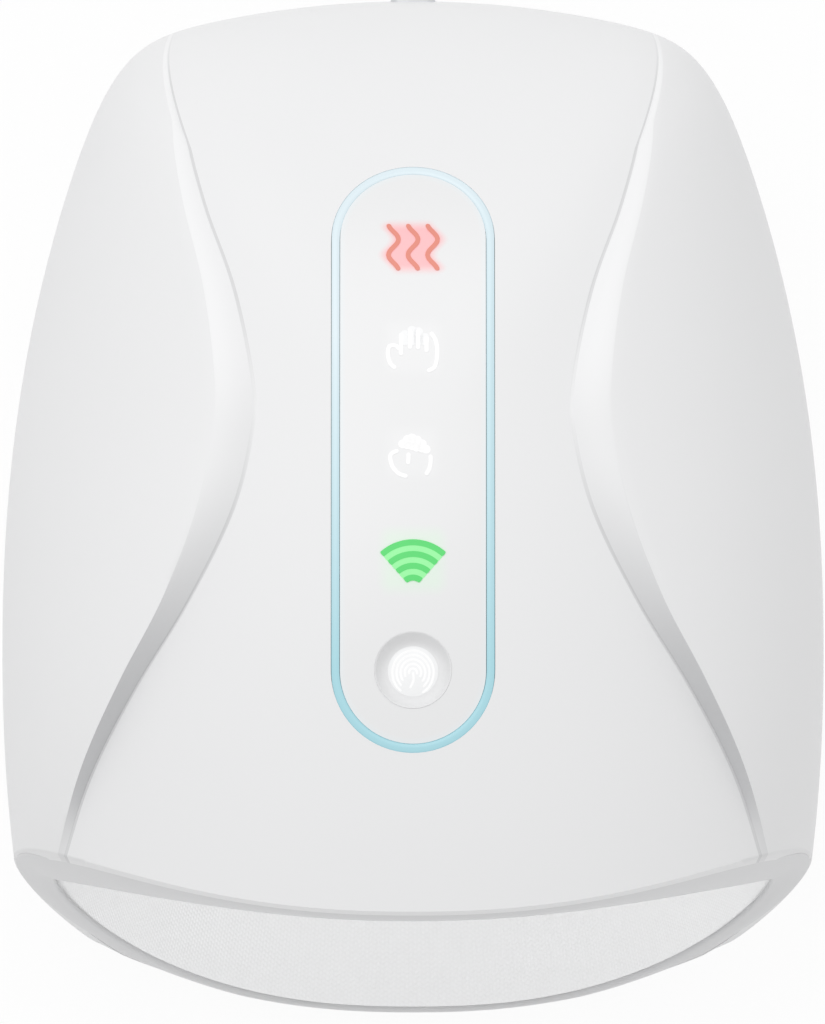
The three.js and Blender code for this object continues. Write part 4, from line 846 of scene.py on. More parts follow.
@lru_cache(maxsize=None)
def brushed_lines():
    """Fine lines drawn one way over metal."""
    tree, given, out = new_group(
        "Brushed Lines", {"Scale": 300, "Roughness": 0.3, "Depth": 0.1}, "Roughness", "Normal"
    )
    drawn = add(tree, "Mapping", {"Vector": given["Vector"], "Scale": (1, 14, 14)})[0]
    lines = noise(tree, drawn, scale=given["Scale"], detail=4)
    rough = maths(tree, "MULTIPLY_ADD", lines, 0.18, given["Roughness"], clamp=True)
    fill(tree, out, {"Roughness": rough, "Normal": bump(tree, given["Depth"], lines, distance=0.00005)})
    return tree


@lru_cache(maxsize=None)
def printed_tracks():
    """Tracks of a circuit board, as a mask."""
    tree, given, out = new_group("Printed Tracks", {"Scale": 220}, "Mask")
    spots = {"Vector": given["Vector"], "Scale": given["Scale"], "Randomness": 0.4}
    cells = add(tree, "TexVoronoi", spots, distance="CHEBYCHEV")["Distance"]
    fill(tree, out, {"Mask": maths(tree, "GREATER_THAN", cells, 0.42)})
    return tree


@lru_cache(maxsize=None)
def strip_distance():
    """Distance from the control strip's middle line, which ends before the round ends do."""
    tree, given, out = new_group("Strip Distance", {"Middle": 0, "Straight": 0.04}, "Distance")
    place = add(tree, "SeparateXYZ", {0: given["Vector"]})
    along = maths(tree, "SUBTRACT", place["Y"], given["Middle"])
    past_end = beyond(tree, along, given["Straight"])
    fill(tree, out, {"Distance": diagonal(tree, past_end, place["X"])})
    return tree


@lru_cache(maxsize=None)
def lamp_glow():
    """Soft light round a symbol, as a mask that fades outside a square, which may sway from side to side."""
    tree, given, out = new_group(
        "Lamp Glow", {"Middle": 0, "Reach": 0.004, "Fade": 0.003, "Sway": 0, "Pace": 0}, "Mask"
    )
    place = add(tree, "SeparateXYZ", {0: given["Vector"]})
    along = maths(tree, "SUBTRACT", place["Y"], given["Middle"])
    wave = maths(tree, "SINE", maths(tree, "MULTIPLY", along, given["Pace"]))
    across = maths(tree, "SUBTRACT", place["X"], maths(tree, "MULTIPLY", wave, given["Sway"]))
    outside = diagonal(tree, *(beyond(tree, way, given["Reach"]) for way in (across, along)))
    spread = maths(tree, "DIVIDE", outside, given["Fade"], clamp=True)
    fill(tree, out, {"Mask": ramp(tree, spread, 0, 1, low=1, high=0, kind="SMOOTHSTEP")})
    return tree


def placed(tree, group, **inputs):
    """Puts a node group in a material, and gives its outputs."""
    return add(tree, "Group", inputs, node_tree=group)


def opaque(tint):
    """A colour with its alpha."""
    return (*tint, 1.0)


def tinted(tree, place, tint, scale, amount):
    """A tint that varies a little over the surface."""
    return placed(tree, uneven_tint(), Vector=place, Color=opaque(tint), Scale=scale, Amount=amount)["Color"]


def new_material(name, **constants):
    """A material with its shader's constant values set, its tree, and its place on the object."""
    made = bpy.data.materials.new(name)
    made.use_nodes = True
    tree = made.node_tree
    shader = tree.nodes["Principled BSDF"].inputs
    fill(tree, shader, {key.replace("_", " "): value for key, value in constants.items()})
    return made, tree, shader, add(tree, "TexCoord")["Object"]


def dress(tree, shader, tint, surface):
    """Gives a shader its colour, and a surface group's roughness and normal."""
    fill(tree, shader, {"Base Color": tint, "Roughness": surface["Roughness"], "Normal": surface["Normal"]})


def light_up(tree, shader, tint, share_lit):
    """Gives a shader a colour of which a share is its own light."""
    fill(tree, shader, {"Base Color": scaled(tree, tint, 1 - share_lit), "Emission Color": tint})


@lru_cache(maxsize=None)
def moulding(name, tint, roughness, depth=0.08, amount=0.03, scale=1100, shine=0.5):
    """Moulded plastic or rubber with its grain."""
    made, tree, shader, place = new_material(name, Specular_IOR_Level=shine)
    grain = placed(
        tree, moulded_grain(), Vector=place, Scale=scale, Depth=depth, Roughness=roughness, Spread=0.08
    )
    dress(tree, shader, tinted(tree, place, tint, scale=24, amount=amount), grain)
    return made


@lru_cache(maxsize=None)
def metal(name, tint, roughness, scale=500):
    """Drawn or plated metal."""
    made, tree, shader, place = new_material(name, Metallic=1.0)
    lines = placed(tree, brushed_lines(), Vector=place, Scale=scale, Roughness=roughness, Depth=0.15)
    dress(tree, shader, tinted(tree, place, tint, scale=60, amount=0.12), lines)
    return made


@lru_cache(maxsize=None)
def lining_knit():
    """The linings' close knit, which follows the cloth."""
    soft = bpy.context.scene.soft_settings
    made, tree, shader, place = new_material("lining_knit", Roughness=0.8, Sheen_Weight=0.15)
    cloth = add(tree, "UVMap", uv_map="weave")[0]
    knit = placed(tree, fine_knit(), Vector=cloth, Stitch=soft.stitch, Depth=0.12)
    shadow = opaque(KNIT_SHADOW * part for part in soft.lining)
    bright = tinted(tree, place, soft.lining, scale=30, amount=0.03)
    tint = mixed(tree, knit["Shade"], shadow, bright)
    fill(tree, shader, {"Base Color": tint, "Normal": knit["Normal"]})
    return made


@lru_cache(maxsize=None)
def lit(name, tint, share_lit=0.5, unevenness=0.06):
    """A lit symbol: part of its colour is its own light."""
    made, tree, shader, place = new_material(name, Roughness=0.4, Emission_Strength=share_lit)
    light_up(tree, shader, tinted(tree, place, tint, scale=300, amount=unevenness), share_lit)
    return made


@lru_cache(maxsize=None)
def ring_light():
    """The light ring: clear and blue at the mouth's end, paler to the left and to the closed end."""
    strip = bpy.context.scene.strip_settings
    made, tree, shader, place = new_material("ring_light", Roughness=0.35, Emission_Strength=RING_LIT)
    spot = add(tree, "SeparateXYZ", {0: place})
    along = ramp(tree, spot["Y"], STRIP_LOW.y + STRIP_RADIUS, STRIP_HIGH.y)
    across = ramp(tree, spot["X"], STRIP_LOW.x, STRIP_HIGH.x, low=RING_LEFT_PALER, high=0)
    upper = maths(tree, "SMOOTH_MIN", along, 1.0, RING_SOFTNESS)
    fading = maths(tree, "ADD", upper, maths(tree, "MULTIPLY", across, upper), clamp=True)
    light_up(tree, shader, mixed(tree, fading, opaque(strip.ring), opaque(RING_PALE)), RING_LIT)
    return made


@lru_cache(maxsize=None)
def strip_gloss():
    """The strip's gloss plastic, with the symbols' light painted into its colour over a faint glow of its
    own, and painted light of the ring along its edge.
    """
    strip = bpy.context.scene.strip_settings
    made, tree, shader, place = new_material("strip_gloss", Emission_Strength=GLOW_STRENGTH)
    grain = placed(tree, moulded_grain(), Vector=place, Scale=1400, Depth=0.04, Roughness=0.3, Spread=0.05)
    tint, glow = opaque(strip.panel), (0.0, 0.0, 0.0, 1.0)
    # The symbols' light is painted into the strip's colour, and a faint share of it is the strip's own glow
    for name, light, reach, fade, strength, sway, pace in SYMBOL_LAMPS:
        around = {"Middle": SYMBOLS[name], "Reach": reach, "Fade": fade, "Sway": sway, "Pace": pace}
        mask = placed(tree, lamp_glow(), Vector=place, **around)["Mask"]
        part = maths(tree, "MULTIPLY", mask, strength)
        tint = mixed(tree, part, tint, opaque(light))
        glow = mixed(tree, part, glow, opaque(light))
    line = placed(tree, strip_distance(), Vector=place, Middle=STRIP_Y, Straight=STRIP_STRAIGHT)
    # Painted light: the ring's light on the strip's edge beside it, painted into its colour
    inner = STRIP_RADIUS - RING_WIDTH
    rim = ramp(tree, line["Distance"], inner - RIM_REACH, inner, low=0, high=RIM_STRENGTH)
    dress(tree, shader, mixed(tree, rim, tint, opaque(RIM_LIGHT)), grain)
    fill(tree, shader, {"Emission Color": glow})
    return made


@lru_cache(maxsize=None)
def board_mask():
    """A circuit board's green lacquer over its tracks."""
    made, tree, shader, place = new_material("board_mask", Roughness=0.35, Coat_Weight=0.3)
    tracks = placed(tree, printed_tracks(), Vector=place, Scale=260)["Mask"]
    tint = mixed(tree, tracks, (0.012, 0.09, 0.04, 1), (0.03, 0.17, 0.08, 1))
    fill(tree, shader, {"Base Color": tint, "Normal": bump(tree, 0.2, tracks, distance=0.00005)})
    return made


@lru_cache(maxsize=None)
def heater_foil():
    """Amber film with its heating track."""
    made, tree, shader, place = new_material("heater_foil", Roughness=0.3, Coat_Weight=0.4)
    waves = {"Vector": place, "Scale": 130, "Distortion": 0.0}
    track = add(tree, "TexWave", waves, wave_type="BANDS", bands_direction="Y")["Fac"]
    mask = maths(tree, "GREATER_THAN", track, 0.55)
    fill(tree, shader, {"Base Color": mixed(tree, mask, (0.5, 0.2, 0.05, 1), (0.28, 0.1, 0.03, 1))})
    return made


@lru_cache(maxsize=None)
def soft_film(name, tint, clear=0.0):
    """Thin air bag film or soft tube."""
    made, tree, shader, place = new_material(name, Transmission_Weight=clear, IOR=1.42)
    grain = placed(tree, moulded_grain(), Vector=place, Scale=160, Depth=0.3, Roughness=0.34, Spread=0.2)
    dress(tree, shader, tinted(tree, place, tint, scale=50, amount=0.12), grain)
    return made


def black_plastic():
    """The plain black plastic of switches, chips and sockets."""
    return moulding("black_moulding", (0.02, 0.021, 0.023), 0.5, depth=0.15, amount=0.1)


def zinc_plate():
    """The screws' plating."""
    return metal("screw_zinc", (0.6, 0.61, 0.62), 0.32)


def shell_plastic():
    """The casings' plastic."""
    casing = bpy.context.scene.casing_settings
    return moulding("shell_plastic", tuple(casing.shell), casing.gloss, depth=0.06, amount=0.015, shine=0.4)


def top_plastic():
    """The top casing's plastic, with the colours of the ribbons and of the lines beside them.

    The layer's X is 1 on a ribbon, and 2 or -1 beside its crease; its Y is the share along the shell. The
    ribbons carry painted shade, greyer towards the mouth, and painted light on their upper halves, and the
    painted shadow lines beside the creases fade at the waist and the end.
    """
    casing = bpy.context.scene.casing_settings
    made = shell_plastic().copy()
    made.name = "top_plastic"
    tree = made.node_tree
    spot = add(tree, "SeparateXYZ", {0: add(tree, "UVMap", uv_map="ribbon")[0]})
    on_ribbon = maths(tree, "ADD", spot["X"], 0.0, clamp=True)
    off_middle = maths(tree, "ABSOLUTE", maths(tree, "SUBTRACT", spot["X"], 0.5))
    on_shadow_line = maths(tree, "GREATER_THAN", off_middle, 1.0)

    # Painted shade on the ribbons, greyer towards the mouth and fading out upwards
    fade = ramp(tree, spot["Y"], *PAINTED_SHADE_FADE, kind="SMOOTHSTEP")
    tip = ramp(tree, spot["Y"], *PAINTED_SHADE_TIP, kind="SMOOTHSTEP")
    grey = maths(tree, "MULTIPLY", on_ribbon, maths(tree, "MULTIPLY", fade, tip))
    # Painted light on the ribbons' upper halves
    pale = maths(tree, "MULTIPLY", on_ribbon, ramp(tree, spot["Y"], *PAINTED_LIGHT_RISE, kind="SMOOTHSTEP"))
    # Painted shadow lines beside the creases, faded out at the waist and near the closed end
    from_waist = maths(tree, "ABSOLUTE", maths(tree, "SUBTRACT", spot["Y"], SHADOW_LINE_WAIST))
    clear = maths(tree, "DIVIDE", from_waist, SHADOW_LINE_WAIST_REACH, clamp=True)
    line = maths(tree, "MULTIPLY", on_shadow_line, maths(tree, "MULTIPLY", clear, ramp(tree, spot["Y"], *SHADOW_LINE_END)))

    base = tree.nodes["Principled BSDF"].inputs["Base Color"]
    tint = base.links[0].from_socket
    # Mixes in the painted light on the upper ribbons, the painted shade towards the mouth and the painted
    # shadow lines beside the creases
    for part, colour_there in ((pale, casing.ribbon_painted_light), (grey, casing.ribbon), (line, casing.crease)):
        tint = mixed(tree, part, tint, opaque(colour_there))
    tree.links.new(tint, base)
    return made


# Pieces


def finished(name, form, material, body, slot, replaced=(), sharp=38.0, edge=0.0):
    """Makes a form a piece of the object, riding on its body."""
    mesh = mesh_of(form, name)
    mesh.polygons.foreach_set("use_smooth", [True] * len(mesh.polygons))
    mesh.set_sharp_from_angle(angle=math.radians(sharp))
    mesh.materials.append(material)
    piece = scene_object(name, mesh)
    if edge:
        softened = piece.modifiers.new("rounded edges", "BEVEL")
        softened.width, softened.segments = edge, EDGE_SEGMENTS
        softened.limit_method, softened.angle_limit = "ANGLE", math.radians(EDGE_ANGLE)
    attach(piece, body)
    if replaced:
        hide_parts(*replaced)
    return piece


def top_share(u, s):
    """Share across the top for a column, with columns gathered at the crease and the seam."""
    side = 1 if u > 0.5 else -1
    t = abs(2 * u - 1)
    crease = value_at(CREASE_SHARES, s)
    edge = crease + value_at(RIBBON_SHARES, s)
    if t <= CENTRE_COLUMN_SHARE:
        return side * crease * (1 - (1 - t / CENTRE_COLUMN_SHARE) ** CREASE_GATHER)
    if t <= RIBBON_COLUMN_SHARE:
        part = (t - CENTRE_COLUMN_SHARE) / (RIBBON_COLUMN_SHARE - CENTRE_COLUMN_SHARE)
        return side * lerp(crease, edge, part)
    return side * (1 - (1 - edge) * ((1 - t) / (1 - RIBBON_COLUMN_SHARE)) ** SEAM_GATHER)


def length_share(v):
    """Share along the shell for a row, with rows gathered at the mouth and the closed end."""
    if v <= 0.5:
        return CREST_SHARE * (2 * v) ** MOUTH_GATHER
    return lerp(CREST_SHARE, 1, 1 - (2 - 2 * v) ** END_GATHER)


def base_share(t):
    """Share across the base for a column, with columns gathered in its turned side."""
    if t < FLAT_COLUMN_SHARE:
        return BASE_FLAT_SHARE * t / FLAT_COLUMN_SHARE
    turn = (t - FLAT_COLUMN_SHARE) / (1 - FLAT_COLUMN_SHARE)
    return lerp(BASE_FLAT_SHARE, 1, math.sin(turn * math.pi / 2))


@lru_cache(maxsize=None)
def top_form():
    """The top casing before it is cut."""

    def surface(inset):
        def at(u, v):
            s = length_share(v)
            return shell_point(inner_share(top_share(u, s), inset), s, inset, top_height)

        return at

    def ribbon(corner, middle):
        """1 on a ribbon, 2 and -1 beside its crease, otherwise 0, and the share along the shell."""
        across = abs(2 * middle.x - 1)
        inside = CENTRE_COLUMN_SHARE < across < RIBBON_COLUMN_SHARE
        beside = abs(across - CENTRE_COLUMN_SHARE) < 2 / TOP_COLUMNS
        return ((2.0 if inside else -1.0) if beside else float(inside), length_share(corner.y))

    return slab(TOP_COLUMNS, TOP_ROWS, surface(0.0), surface(WALL), "ribbon", ribbon)


@lru_cache(maxsize=None)
def crown_tree():
    """The top casing's surface, for laying things on."""
    return BVHTree.FromBMesh(top_form())


def crown_height(x, y):
    """Height of the uncut crown over a place."""
    hit = crown_tree().ray_cast(Vector((x, y, 1)), Vector((0, 0, -1)))[0]
    if hit is None:
        raise RuntimeError("no crown over the place %.4f, %.4f" % (x, y))
    return hit.z


def base_surface(inset):
    """The bottom casing's surface."""

    def at(u, v):
        a = math.copysign(base_share(abs(2 * u - 1)), u - 0.5)
        if v < FRONT_ROW_SHARE:
            s = CREST_SHARE * (v / FRONT_ROW_SHARE)
        else:
            s = lerp(CREST_SHARE, 1, base_share((v - FRONT_ROW_SHARE) / (1 - FRONT_ROW_SHARE)))
        return shell_point(a, s, inset, base_height)

    return at


def strip_outline(part, trim):
    """A point of the strip's outline, trimmed inwards, at a share of the way round."""
    radius = STRIP_RADIUS - trim
    side, turn = 2 * STRIP_STRAIGHT, math.pi * STRIP_RADIUS
    run = (part % 1.0) * 2 * (side + turn)
    if run < side:
        return Vector((radius, STRIP_Y - STRIP_STRAIGHT + run))
    if run < side + turn:
        angle = (run - side) / STRIP_RADIUS
        return Vector((radius * math.cos(angle), STRIP_Y + STRIP_STRAIGHT + radius * math.sin(angle)))
    if run < 2 * side + turn:
        return Vector((-radius, STRIP_Y + STRIP_STRAIGHT - (run - side - turn)))
    angle = math.pi + (run - 2 * side - turn) / STRIP_RADIUS
    return Vector((radius * math.cos(angle), STRIP_Y - STRIP_STRAIGHT + radius * math.sin(angle)))


def strip_column(trim, low, high):
    """An upright block with the strip's outline."""
    form = bmesh.new()
    rim = [form.verts.new((*strip_outline(k / RING_COLUMNS, trim), low)) for k in range(RING_COLUMNS)]
    top = extruded(form, [form.faces.new(rim)])
    bmesh.ops.translate(form, verts=top, vec=(0, 0, high - low))
    bmesh.ops.recalc_face_normals(form, faces=form.faces[:])
    return form


def middles(*nodes):
    """The middle of each node's box."""
    return [(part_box(node)[0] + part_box(node)[1]) / 2 for node in nodes]


def radius_of(node):
    """Half the width of a node's box."""
    low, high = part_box(node)
    return (high.x - low.x) / 2


CORNERS = ("front_left", "front_right", "back_left", "back_right")
CASING_SCREWS = tuple("casing_screw_" + corner for corner in CORNERS)
FEET = tuple("rubber_foot_" + corner for corner in CORNERS)


class BuildCasings(bpy.types.Operator):
    """Build the top and bottom casings"""

    bl_idname = "massager.casings"
    bl_label = "Casings"

    def execute(self, context):
        edge = context.scene.casing_settings.edge_round
        self.top(edge)
        self.base(edge)
        return {"FINISHED"}

    def top(self, edge):
        """The top casing, with the strip's opening and the socket's."""
        low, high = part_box("charging_socket")
        rounding = (high.z - low.z) / 2 + CLEARANCE
        socket = box(
            (low.x - CLEARANCE, low.y, low.z - CLEARANCE),
            (high.x + CLEARANCE, REACH + WALL, high.z + CLEARANCE),
            edge=SOCKET_ROUNDING_SHARE * rounding,
        )
        cut = gathered(strip_column(CLEARANCE - RING_GAP, SEAM + 2 * WALL, CREST + WALL), socket)
        top = combined(top_form().copy(), "DIFFERENCE", cut)
        plastic, nodes = top_plastic(), ["top_casing"]
        finished("top_shell", top, plastic, "housing", "shell_white", nodes, sharp=62.0, edge=edge)

    def base(self, edge):
        """The bottom casing, with bosses and wells for its screws and pockets for its feet."""
        inside = base_surface(WALL / 2)
        hollow = slab(
            BASE_COLUMNS // 2,
            BASE_ROWS // 2,
            lambda u, v: Vector((*inside(u, v).xy, SEAM - HALF_GAP)) if 0 < u < 1 and v < 1 else inside(u, v),
            lambda u, v: inside(u, v) - Vector((0, 0, HALF_GAP)),
        )
        shell = slab(BASE_COLUMNS, BASE_ROWS, base_surface(WALL), base_surface(0.0))
        screws, feet = middles(*CASING_SCREWS), middles(*FEET)
        hole = radius_of(CASING_SCREWS[0]) + CLEARANCE
        posts = [post(hole + COLLAR_WALL, spot.x, spot.y, 0, SEAM - 2 * HALF_GAP) for spot in screws]
        shell = combined(shell, "UNION", combined(gathered(*posts), "INTERSECT", hollow))
        head_top, foot_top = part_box(CASING_SCREWS[0])[1].z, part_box(FEET[0])[1].z + CLEARANCE
        foot = radius_of(FEET[0]) + CLEARANCE
        wells = [post(hole, spot.x, spot.y, -WALL, head_top) for spot in screws]
        pockets = [post(foot, spot.x, spot.y, -WALL, foot_top) for spot in feet]
        shell = combined(shell, "DIFFERENCE", gathered(*wells, *pockets))
        plastic, nodes = shell_plastic(), ["bottom_casing"]
        finished("bottom_shell", shell, plastic, "housing", "shell_white", nodes, sharp=50.0, edge=edge)


class BuildMouth(bpy.types.Operator):
    """Build the bezel round the mouth"""

    bl_idname = "massager.mouth"
    bl_label = "Mouth bezel"

    def execute(self, context):
        casing = context.scene.casing_settings
        inner = LINING + CLEARANCE
        outer = inner + COLLAR_WALL
        deep = BEZEL_THICKNESS + COLLAR_DEPTH

        def way_round(u):
            """Share across and side of the seam at a share of the way round."""
            u = u % 1.0
            part = 4 * u - 1 if u <= 0.5 else 3 - 4 * u
            return math.copysign(1 - (1 - abs(part)) ** 2, part), 1 if u <= 0.5 else -1

        def mouth(u, grow, setback):
            a, side = way_round(u)
            return cavity_point(a, 0.0, grow, side, setback)

        def nose(u, grow, setback):
            """The mouth's edge, with its two ends blunted."""
            a, _ = way_round(u)
            blunt = math.copysign(CORNER_BLUNT * abs(a) ** CORNER_BLUNT_POWER, a)
            return mouth(u, grow, setback) - Vector((blunt, 0, 0))

        def casing_side(u, setback, inset=WALL + CLOSE_GAP):
            a, side = way_round(u)
            point = shell_point(inner_share(a, inset), 0.0, inset, top_height if side > 0 else base_height)
            return point + Vector((0, setback, 0))

        def cover(u):
            """How far the face covers the casings' cut edge: only at the mouth's two ends."""
            a, side = way_round(u)
            start = TOP_COVER_START if side > 0 else FLOOR_COVER_START
            return ease((abs(a) - start) / (1 - start))

        def rim(u, proud, edge):
            """The face's outer edge: behind the casings' cut edge, or over it where the face covers it."""
            part = cover(u)
            return casing_side(u, lerp(BEZEL_RECESS, -proud, part), lerp(WALL + CLOSE_GAP, edge, part))

        def behind(u, edge, share_back):
            """The back of the lip that covers the casings' cut edge."""
            return rim(u, CLOSE_GAP, edge) + Vector((0, BEZEL_RECESS * (1 - cover(u)) * share_back, 0))

        def face(u, part):
            """The front face, slightly crowned between its outer and its rounded inner edge."""
            point = rim(u, BEZEL_LIP, BEZEL_EDGE).lerp(nose(u, BEZEL_ROUND, 0.0), part)
            return point - Vector((0, BEZEL_CROWN * math.sin(math.pi * part), 0))

        def rounding(u, part):
            angle = part * math.pi / 2
            return nose(u, BEZEL_ROUND * (1 - math.sin(angle)), BEZEL_ROUND * (1 - math.cos(angle)))

        steps = [k / BEZEL_STEPS for k in range(BEZEL_STEPS + 1)]
        sections = [lambda u, part=part: face(u, part) for part in steps]
        sections += [lambda u, part=part: rounding(u, part) for part in steps[1:]]
        sections += [
            lambda u: nose(u, 0.0, LINING_SETBACK),
            lambda u: mouth(u, inner, LINING_SETBACK),
            lambda u: mouth(u, inner, deep),
            lambda u: mouth(u, outer, deep),
            lambda u: mouth(u, outer, BEZEL_THICKNESS),
            lambda u: casing_side(u, BEZEL_THICKNESS),
            lambda u: behind(u, WALL + CLOSE_GAP, 1.0),
            lambda u: behind(u, BEZEL_EDGE, 0.5),
        ]
        last = len(sections)
        form = band(2 * RING_COLUMNS, last, lambda u, v: sections[round(v * last) % last](u))
        satin = moulding("bezel_satin", tuple(casing.bezel), 0.42, depth=0.1, amount=0.03)
        finished("bezel", form, satin, "housing", "bezel_grey", ["mouth_bezel"], sharp=40.0)
        return {"FINISHED"}


class BuildLinings(bpy.types.Operator):
    """Build the roof and floor linings of the hand cavity"""

    bl_idname = "massager.linings"
    bl_label = "Linings"

    def execute(self, context):
        for name, node, side in (("roof_lining", "upper_lining", 1), ("floor_lining", "lower_lining", -1)):

            def wall(grow, side=side):
                def at(u, v):
                    part = 2 * u - 1
                    a = math.copysign(1 - (1 - abs(part)) ** 2, part)
                    t = 1 - (1 - v) ** LINING_GATHER
                    return cavity_point(a, t, grow, side, LINING_SETBACK + CLOSE_GAP)

                return at

            upper, lower = (wall(LINING), wall(0.0)) if side > 0 else (wall(0.0), wall(LINING))
            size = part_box(node)
            spread = (size[1].x - size[0].x + 2 * (size[1].z - size[0].z), size[1].y - size[0].y)

            def cloth(corner, _, spread=spread):
                return (corner.x * spread[0], corner.y * spread[1])

            form = slab(LINING_COLUMNS, LINING_ROWS, upper, lower, "weave", cloth)
            knit = lining_knit()
            lining = finished(
                name, form, knit, "housing", "lining_pale", [node], sharp=50.0, edge=LINING_EDGE
            )
        return {"FINISHED"}


class BuildAirBags(bpy.types.Operator):
    """Build the let-down air bags over the roof lining"""

    bl_idname = "massager.air_bags"
    bl_label = "Air bags"

    def execute(self, context):
        film = soft_film("bag_film", tuple(context.scene.soft_settings.bag))
        for node, (start, end) in BAG_SPANS.items():

            def patch(u, v, puff, start=start, end=end):
                across, along = 2 * u - 1, 2 * v - 1
                grow = BAG_GROW
                if puff:
                    ripple = 1 + BAG_RIPPLE * math.cos(BAG_RIPPLES * math.pi * across)
                    grow += BAG_SEAM + BAG_PUFF * ripple * math.sqrt((1 - across**4) * (1 - along**4))
                return cavity_point(BAG_HALF_SHARE * across, lerp(start, end, v), grow, 1)

            form = slab(
                BAG_COLUMNS, BAG_ROWS, lambda u, v: patch(u, v, True), lambda u, v: patch(u, v, False)
            )
            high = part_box(node)[1].z
            spot = patch(NIPPLE_ACROSS, 0.5, True)
            nipple = turned(NIPPLE_PROFILE, NIPPLE_STEPS)
            nipple.transform(Matrix.Translation((spot.x, spot.y, high)))
            stem = post(
                NIPPLE_STEM_RADIUS, spot.x, spot.y, spot.z - BAG_SEAM, high - NIPPLE_STEM_DROP, NIPPLE_STEPS
            )
            whole = gathered(form, nipple, stem)
            bag = finished(node + "_film", whole, film, "housing", "air_bag_skin", [node], sharp=50.0)
        return {"FINISHED"}


class BuildStrip(bpy.types.Operator):
    """Build the control strip, its light ring and its lit symbols"""

    bl_idname = "massager.strip"
    bl_label = "Control strip"

    def execute(self, context):
        strip = context.scene.strip_settings
        self.ring()
        self.panel()
        white = lit("hand_light", WHITE, share_lit=0.35, unevenness=0.01)
        hand_fill = lit("hand_fill", PALE_LIGHT, share_lit=0.3, unevenness=0.01)
        heat, level = lit("heat_light", tuple(strip.heat)), lit("level_light", tuple(strip.level))
        level_glow = lit("level_glow", (0.33, 0.95, 0.38), share_lit=0.6)
        # Strokes, their width in lines, their lift in inlays, their ends' rounding, and the material
        pieces = {
            "heat_symbol": (self.heat(), 1.0, 2.0, 1.0, heat),
            "fingers_symbol": (self.open_hand(), 0.85, 2.0, 1.0, white),
            "fingers_fill": (self.open_hand_fill(), 1.9, 1.5, 1.0, hand_fill),
            "palm_symbol": (self.closed_hand(), 0.85, 2.0, 1.0, white),
            "palm_fill": (self.closed_hand_fill(), 1.9, 1.5, 1.0, white),
            "level_symbol": (self.arcs(LEVEL_ARCS), 1.25, 3.0, 0.3, level),
            "level_gaps": (self.arcs(LEVEL_GAPS), 2.1, 1.5, 0.2, level_glow),
        }
        for name, (paths, width, lift, rounding, material) in pieces.items():
            size = {"width": width * strip.line, "lift": lift * INLAY, "rounding": rounding}
            form = gathered(*[stroke(path, ground=crown_height, **size) for path in paths])
            finished(name, form, material, "housing", "light_guide", sharp=60.0)
        return {"FINISHED"}

    def ring(self):
        """The light ring, flush with the casing."""
        outer, inner = CLEARANCE, CLEARANCE + RING_WIDTH
        corners = (
            (outer, RING_EDGE), (outer + RING_EDGE, 0.0), (outer + RING_WIDTH / 2, -RING_CROWN),
            (inner - RING_EDGE, 0.0), (inner, RING_EDGE), (inner, STRIP_THICKNESS), (outer, STRIP_THICKNESS),
        )  # fmt: skip

        def section(u, v):
            trim, depth = corners[round(v * len(corners)) % len(corners)]
            x, y = strip_outline(u, trim)
            return Vector((x, y, crown_height(x, y) - depth))

        form = band(RING_COLUMNS, len(corners), section)
        finished("ring_of_light", form, ring_light(), "housing", "light_guide", ["light_ring"], sharp=60.0)

    def panel(self):
        """The strip itself, with the button's hole."""
        radius = STRIP_RADIUS - (CLEARANCE + RING_WIDTH + RING_GAP)

        def surface(depth):
            def at(u, v):
                """A quarter of the rows goes round either end, and the others run straight."""
                front, back = min(1, v / 0.25), max(0, (v - 0.75) / 0.25)
                angle = lerp(-math.pi / 2, 0, front) + lerp(0, math.pi / 2, back)
                straight = min(1, max(-1, (v - 0.5) / 0.25)) * STRIP_STRAIGHT
                x = (2 * u - 1) * radius * math.cos(angle)
                y = STRIP_Y + straight + radius * math.sin(angle)
                return Vector((x, y, crown_height(x, y) - depth))

            return at

        form = slab(STRIP_COLUMNS, STRIP_ROWS, surface(0.0), surface(STRIP_THICKNESS))
        hole = post(BUTTON_RADIUS + CLOSE_GAP / 2, 0, 0, -3 * WALL, 3 * WALL, FINE_ROUND_STEPS)
        hole.transform(button_place())
        form = combined(form, "DIFFERENCE", hole)
        gloss, nodes = strip_gloss(), ["control_strip"]
        finished("strip_panel", form, gloss, "housing", "strip_white", nodes, sharp=55.0, edge=STRIP_EDGE)

    @staticmethod
    def heat():
        """Three waves of rising heat."""

        def wave(x):
            return lambda part: Vector(
                (x - HEAT_SWAY * math.cos(3 * math.pi * part), SYMBOLS["heat"] + HEAT_HALF * (1 - 2 * part))
            )

        return [wave(k * HEAT_PITCH) for k in (-1, 0, 1)]

    @staticmethod
    def outline(middle, *points):
        """A bent stroke through points in millimetres from a middle."""
        return curve_through(*[(x / 1000, middle + y / 1000) for x, y in points])

    def upright(self, middle, *bars):
        """Upright strokes, each from its place across and its two heights in millimetres from a middle."""
        return [self.outline(middle, (x, low), (x, high)) for x, low, high in bars]

    def open_hand(self):
        """A raised hand: four fingers, with the thumb and the palm's edge curving down to the wrist."""
        middle = SYMBOLS["fingers"]
        bars = (-2.4, -1.7, 3.0), (-0.6, -0.3, 3.8), (1.0, -0.4, 3.8), (2.7, -1.0, 2.3)
        thumb = (-2.6, -0.6), (-3.4, 0.3), (-4.7, 0.2), (-5.0, -1.5), (-4.5, -3.4), (-3.4, -4.4)
        edge = (3.5, 3.2), (4.6, 1.2), (4.8, -1.6), (4.3, -4.1), (2.8, -5.0)
        return [*self.upright(middle, *bars), self.outline(middle, *thumb), self.outline(middle, *edge)]

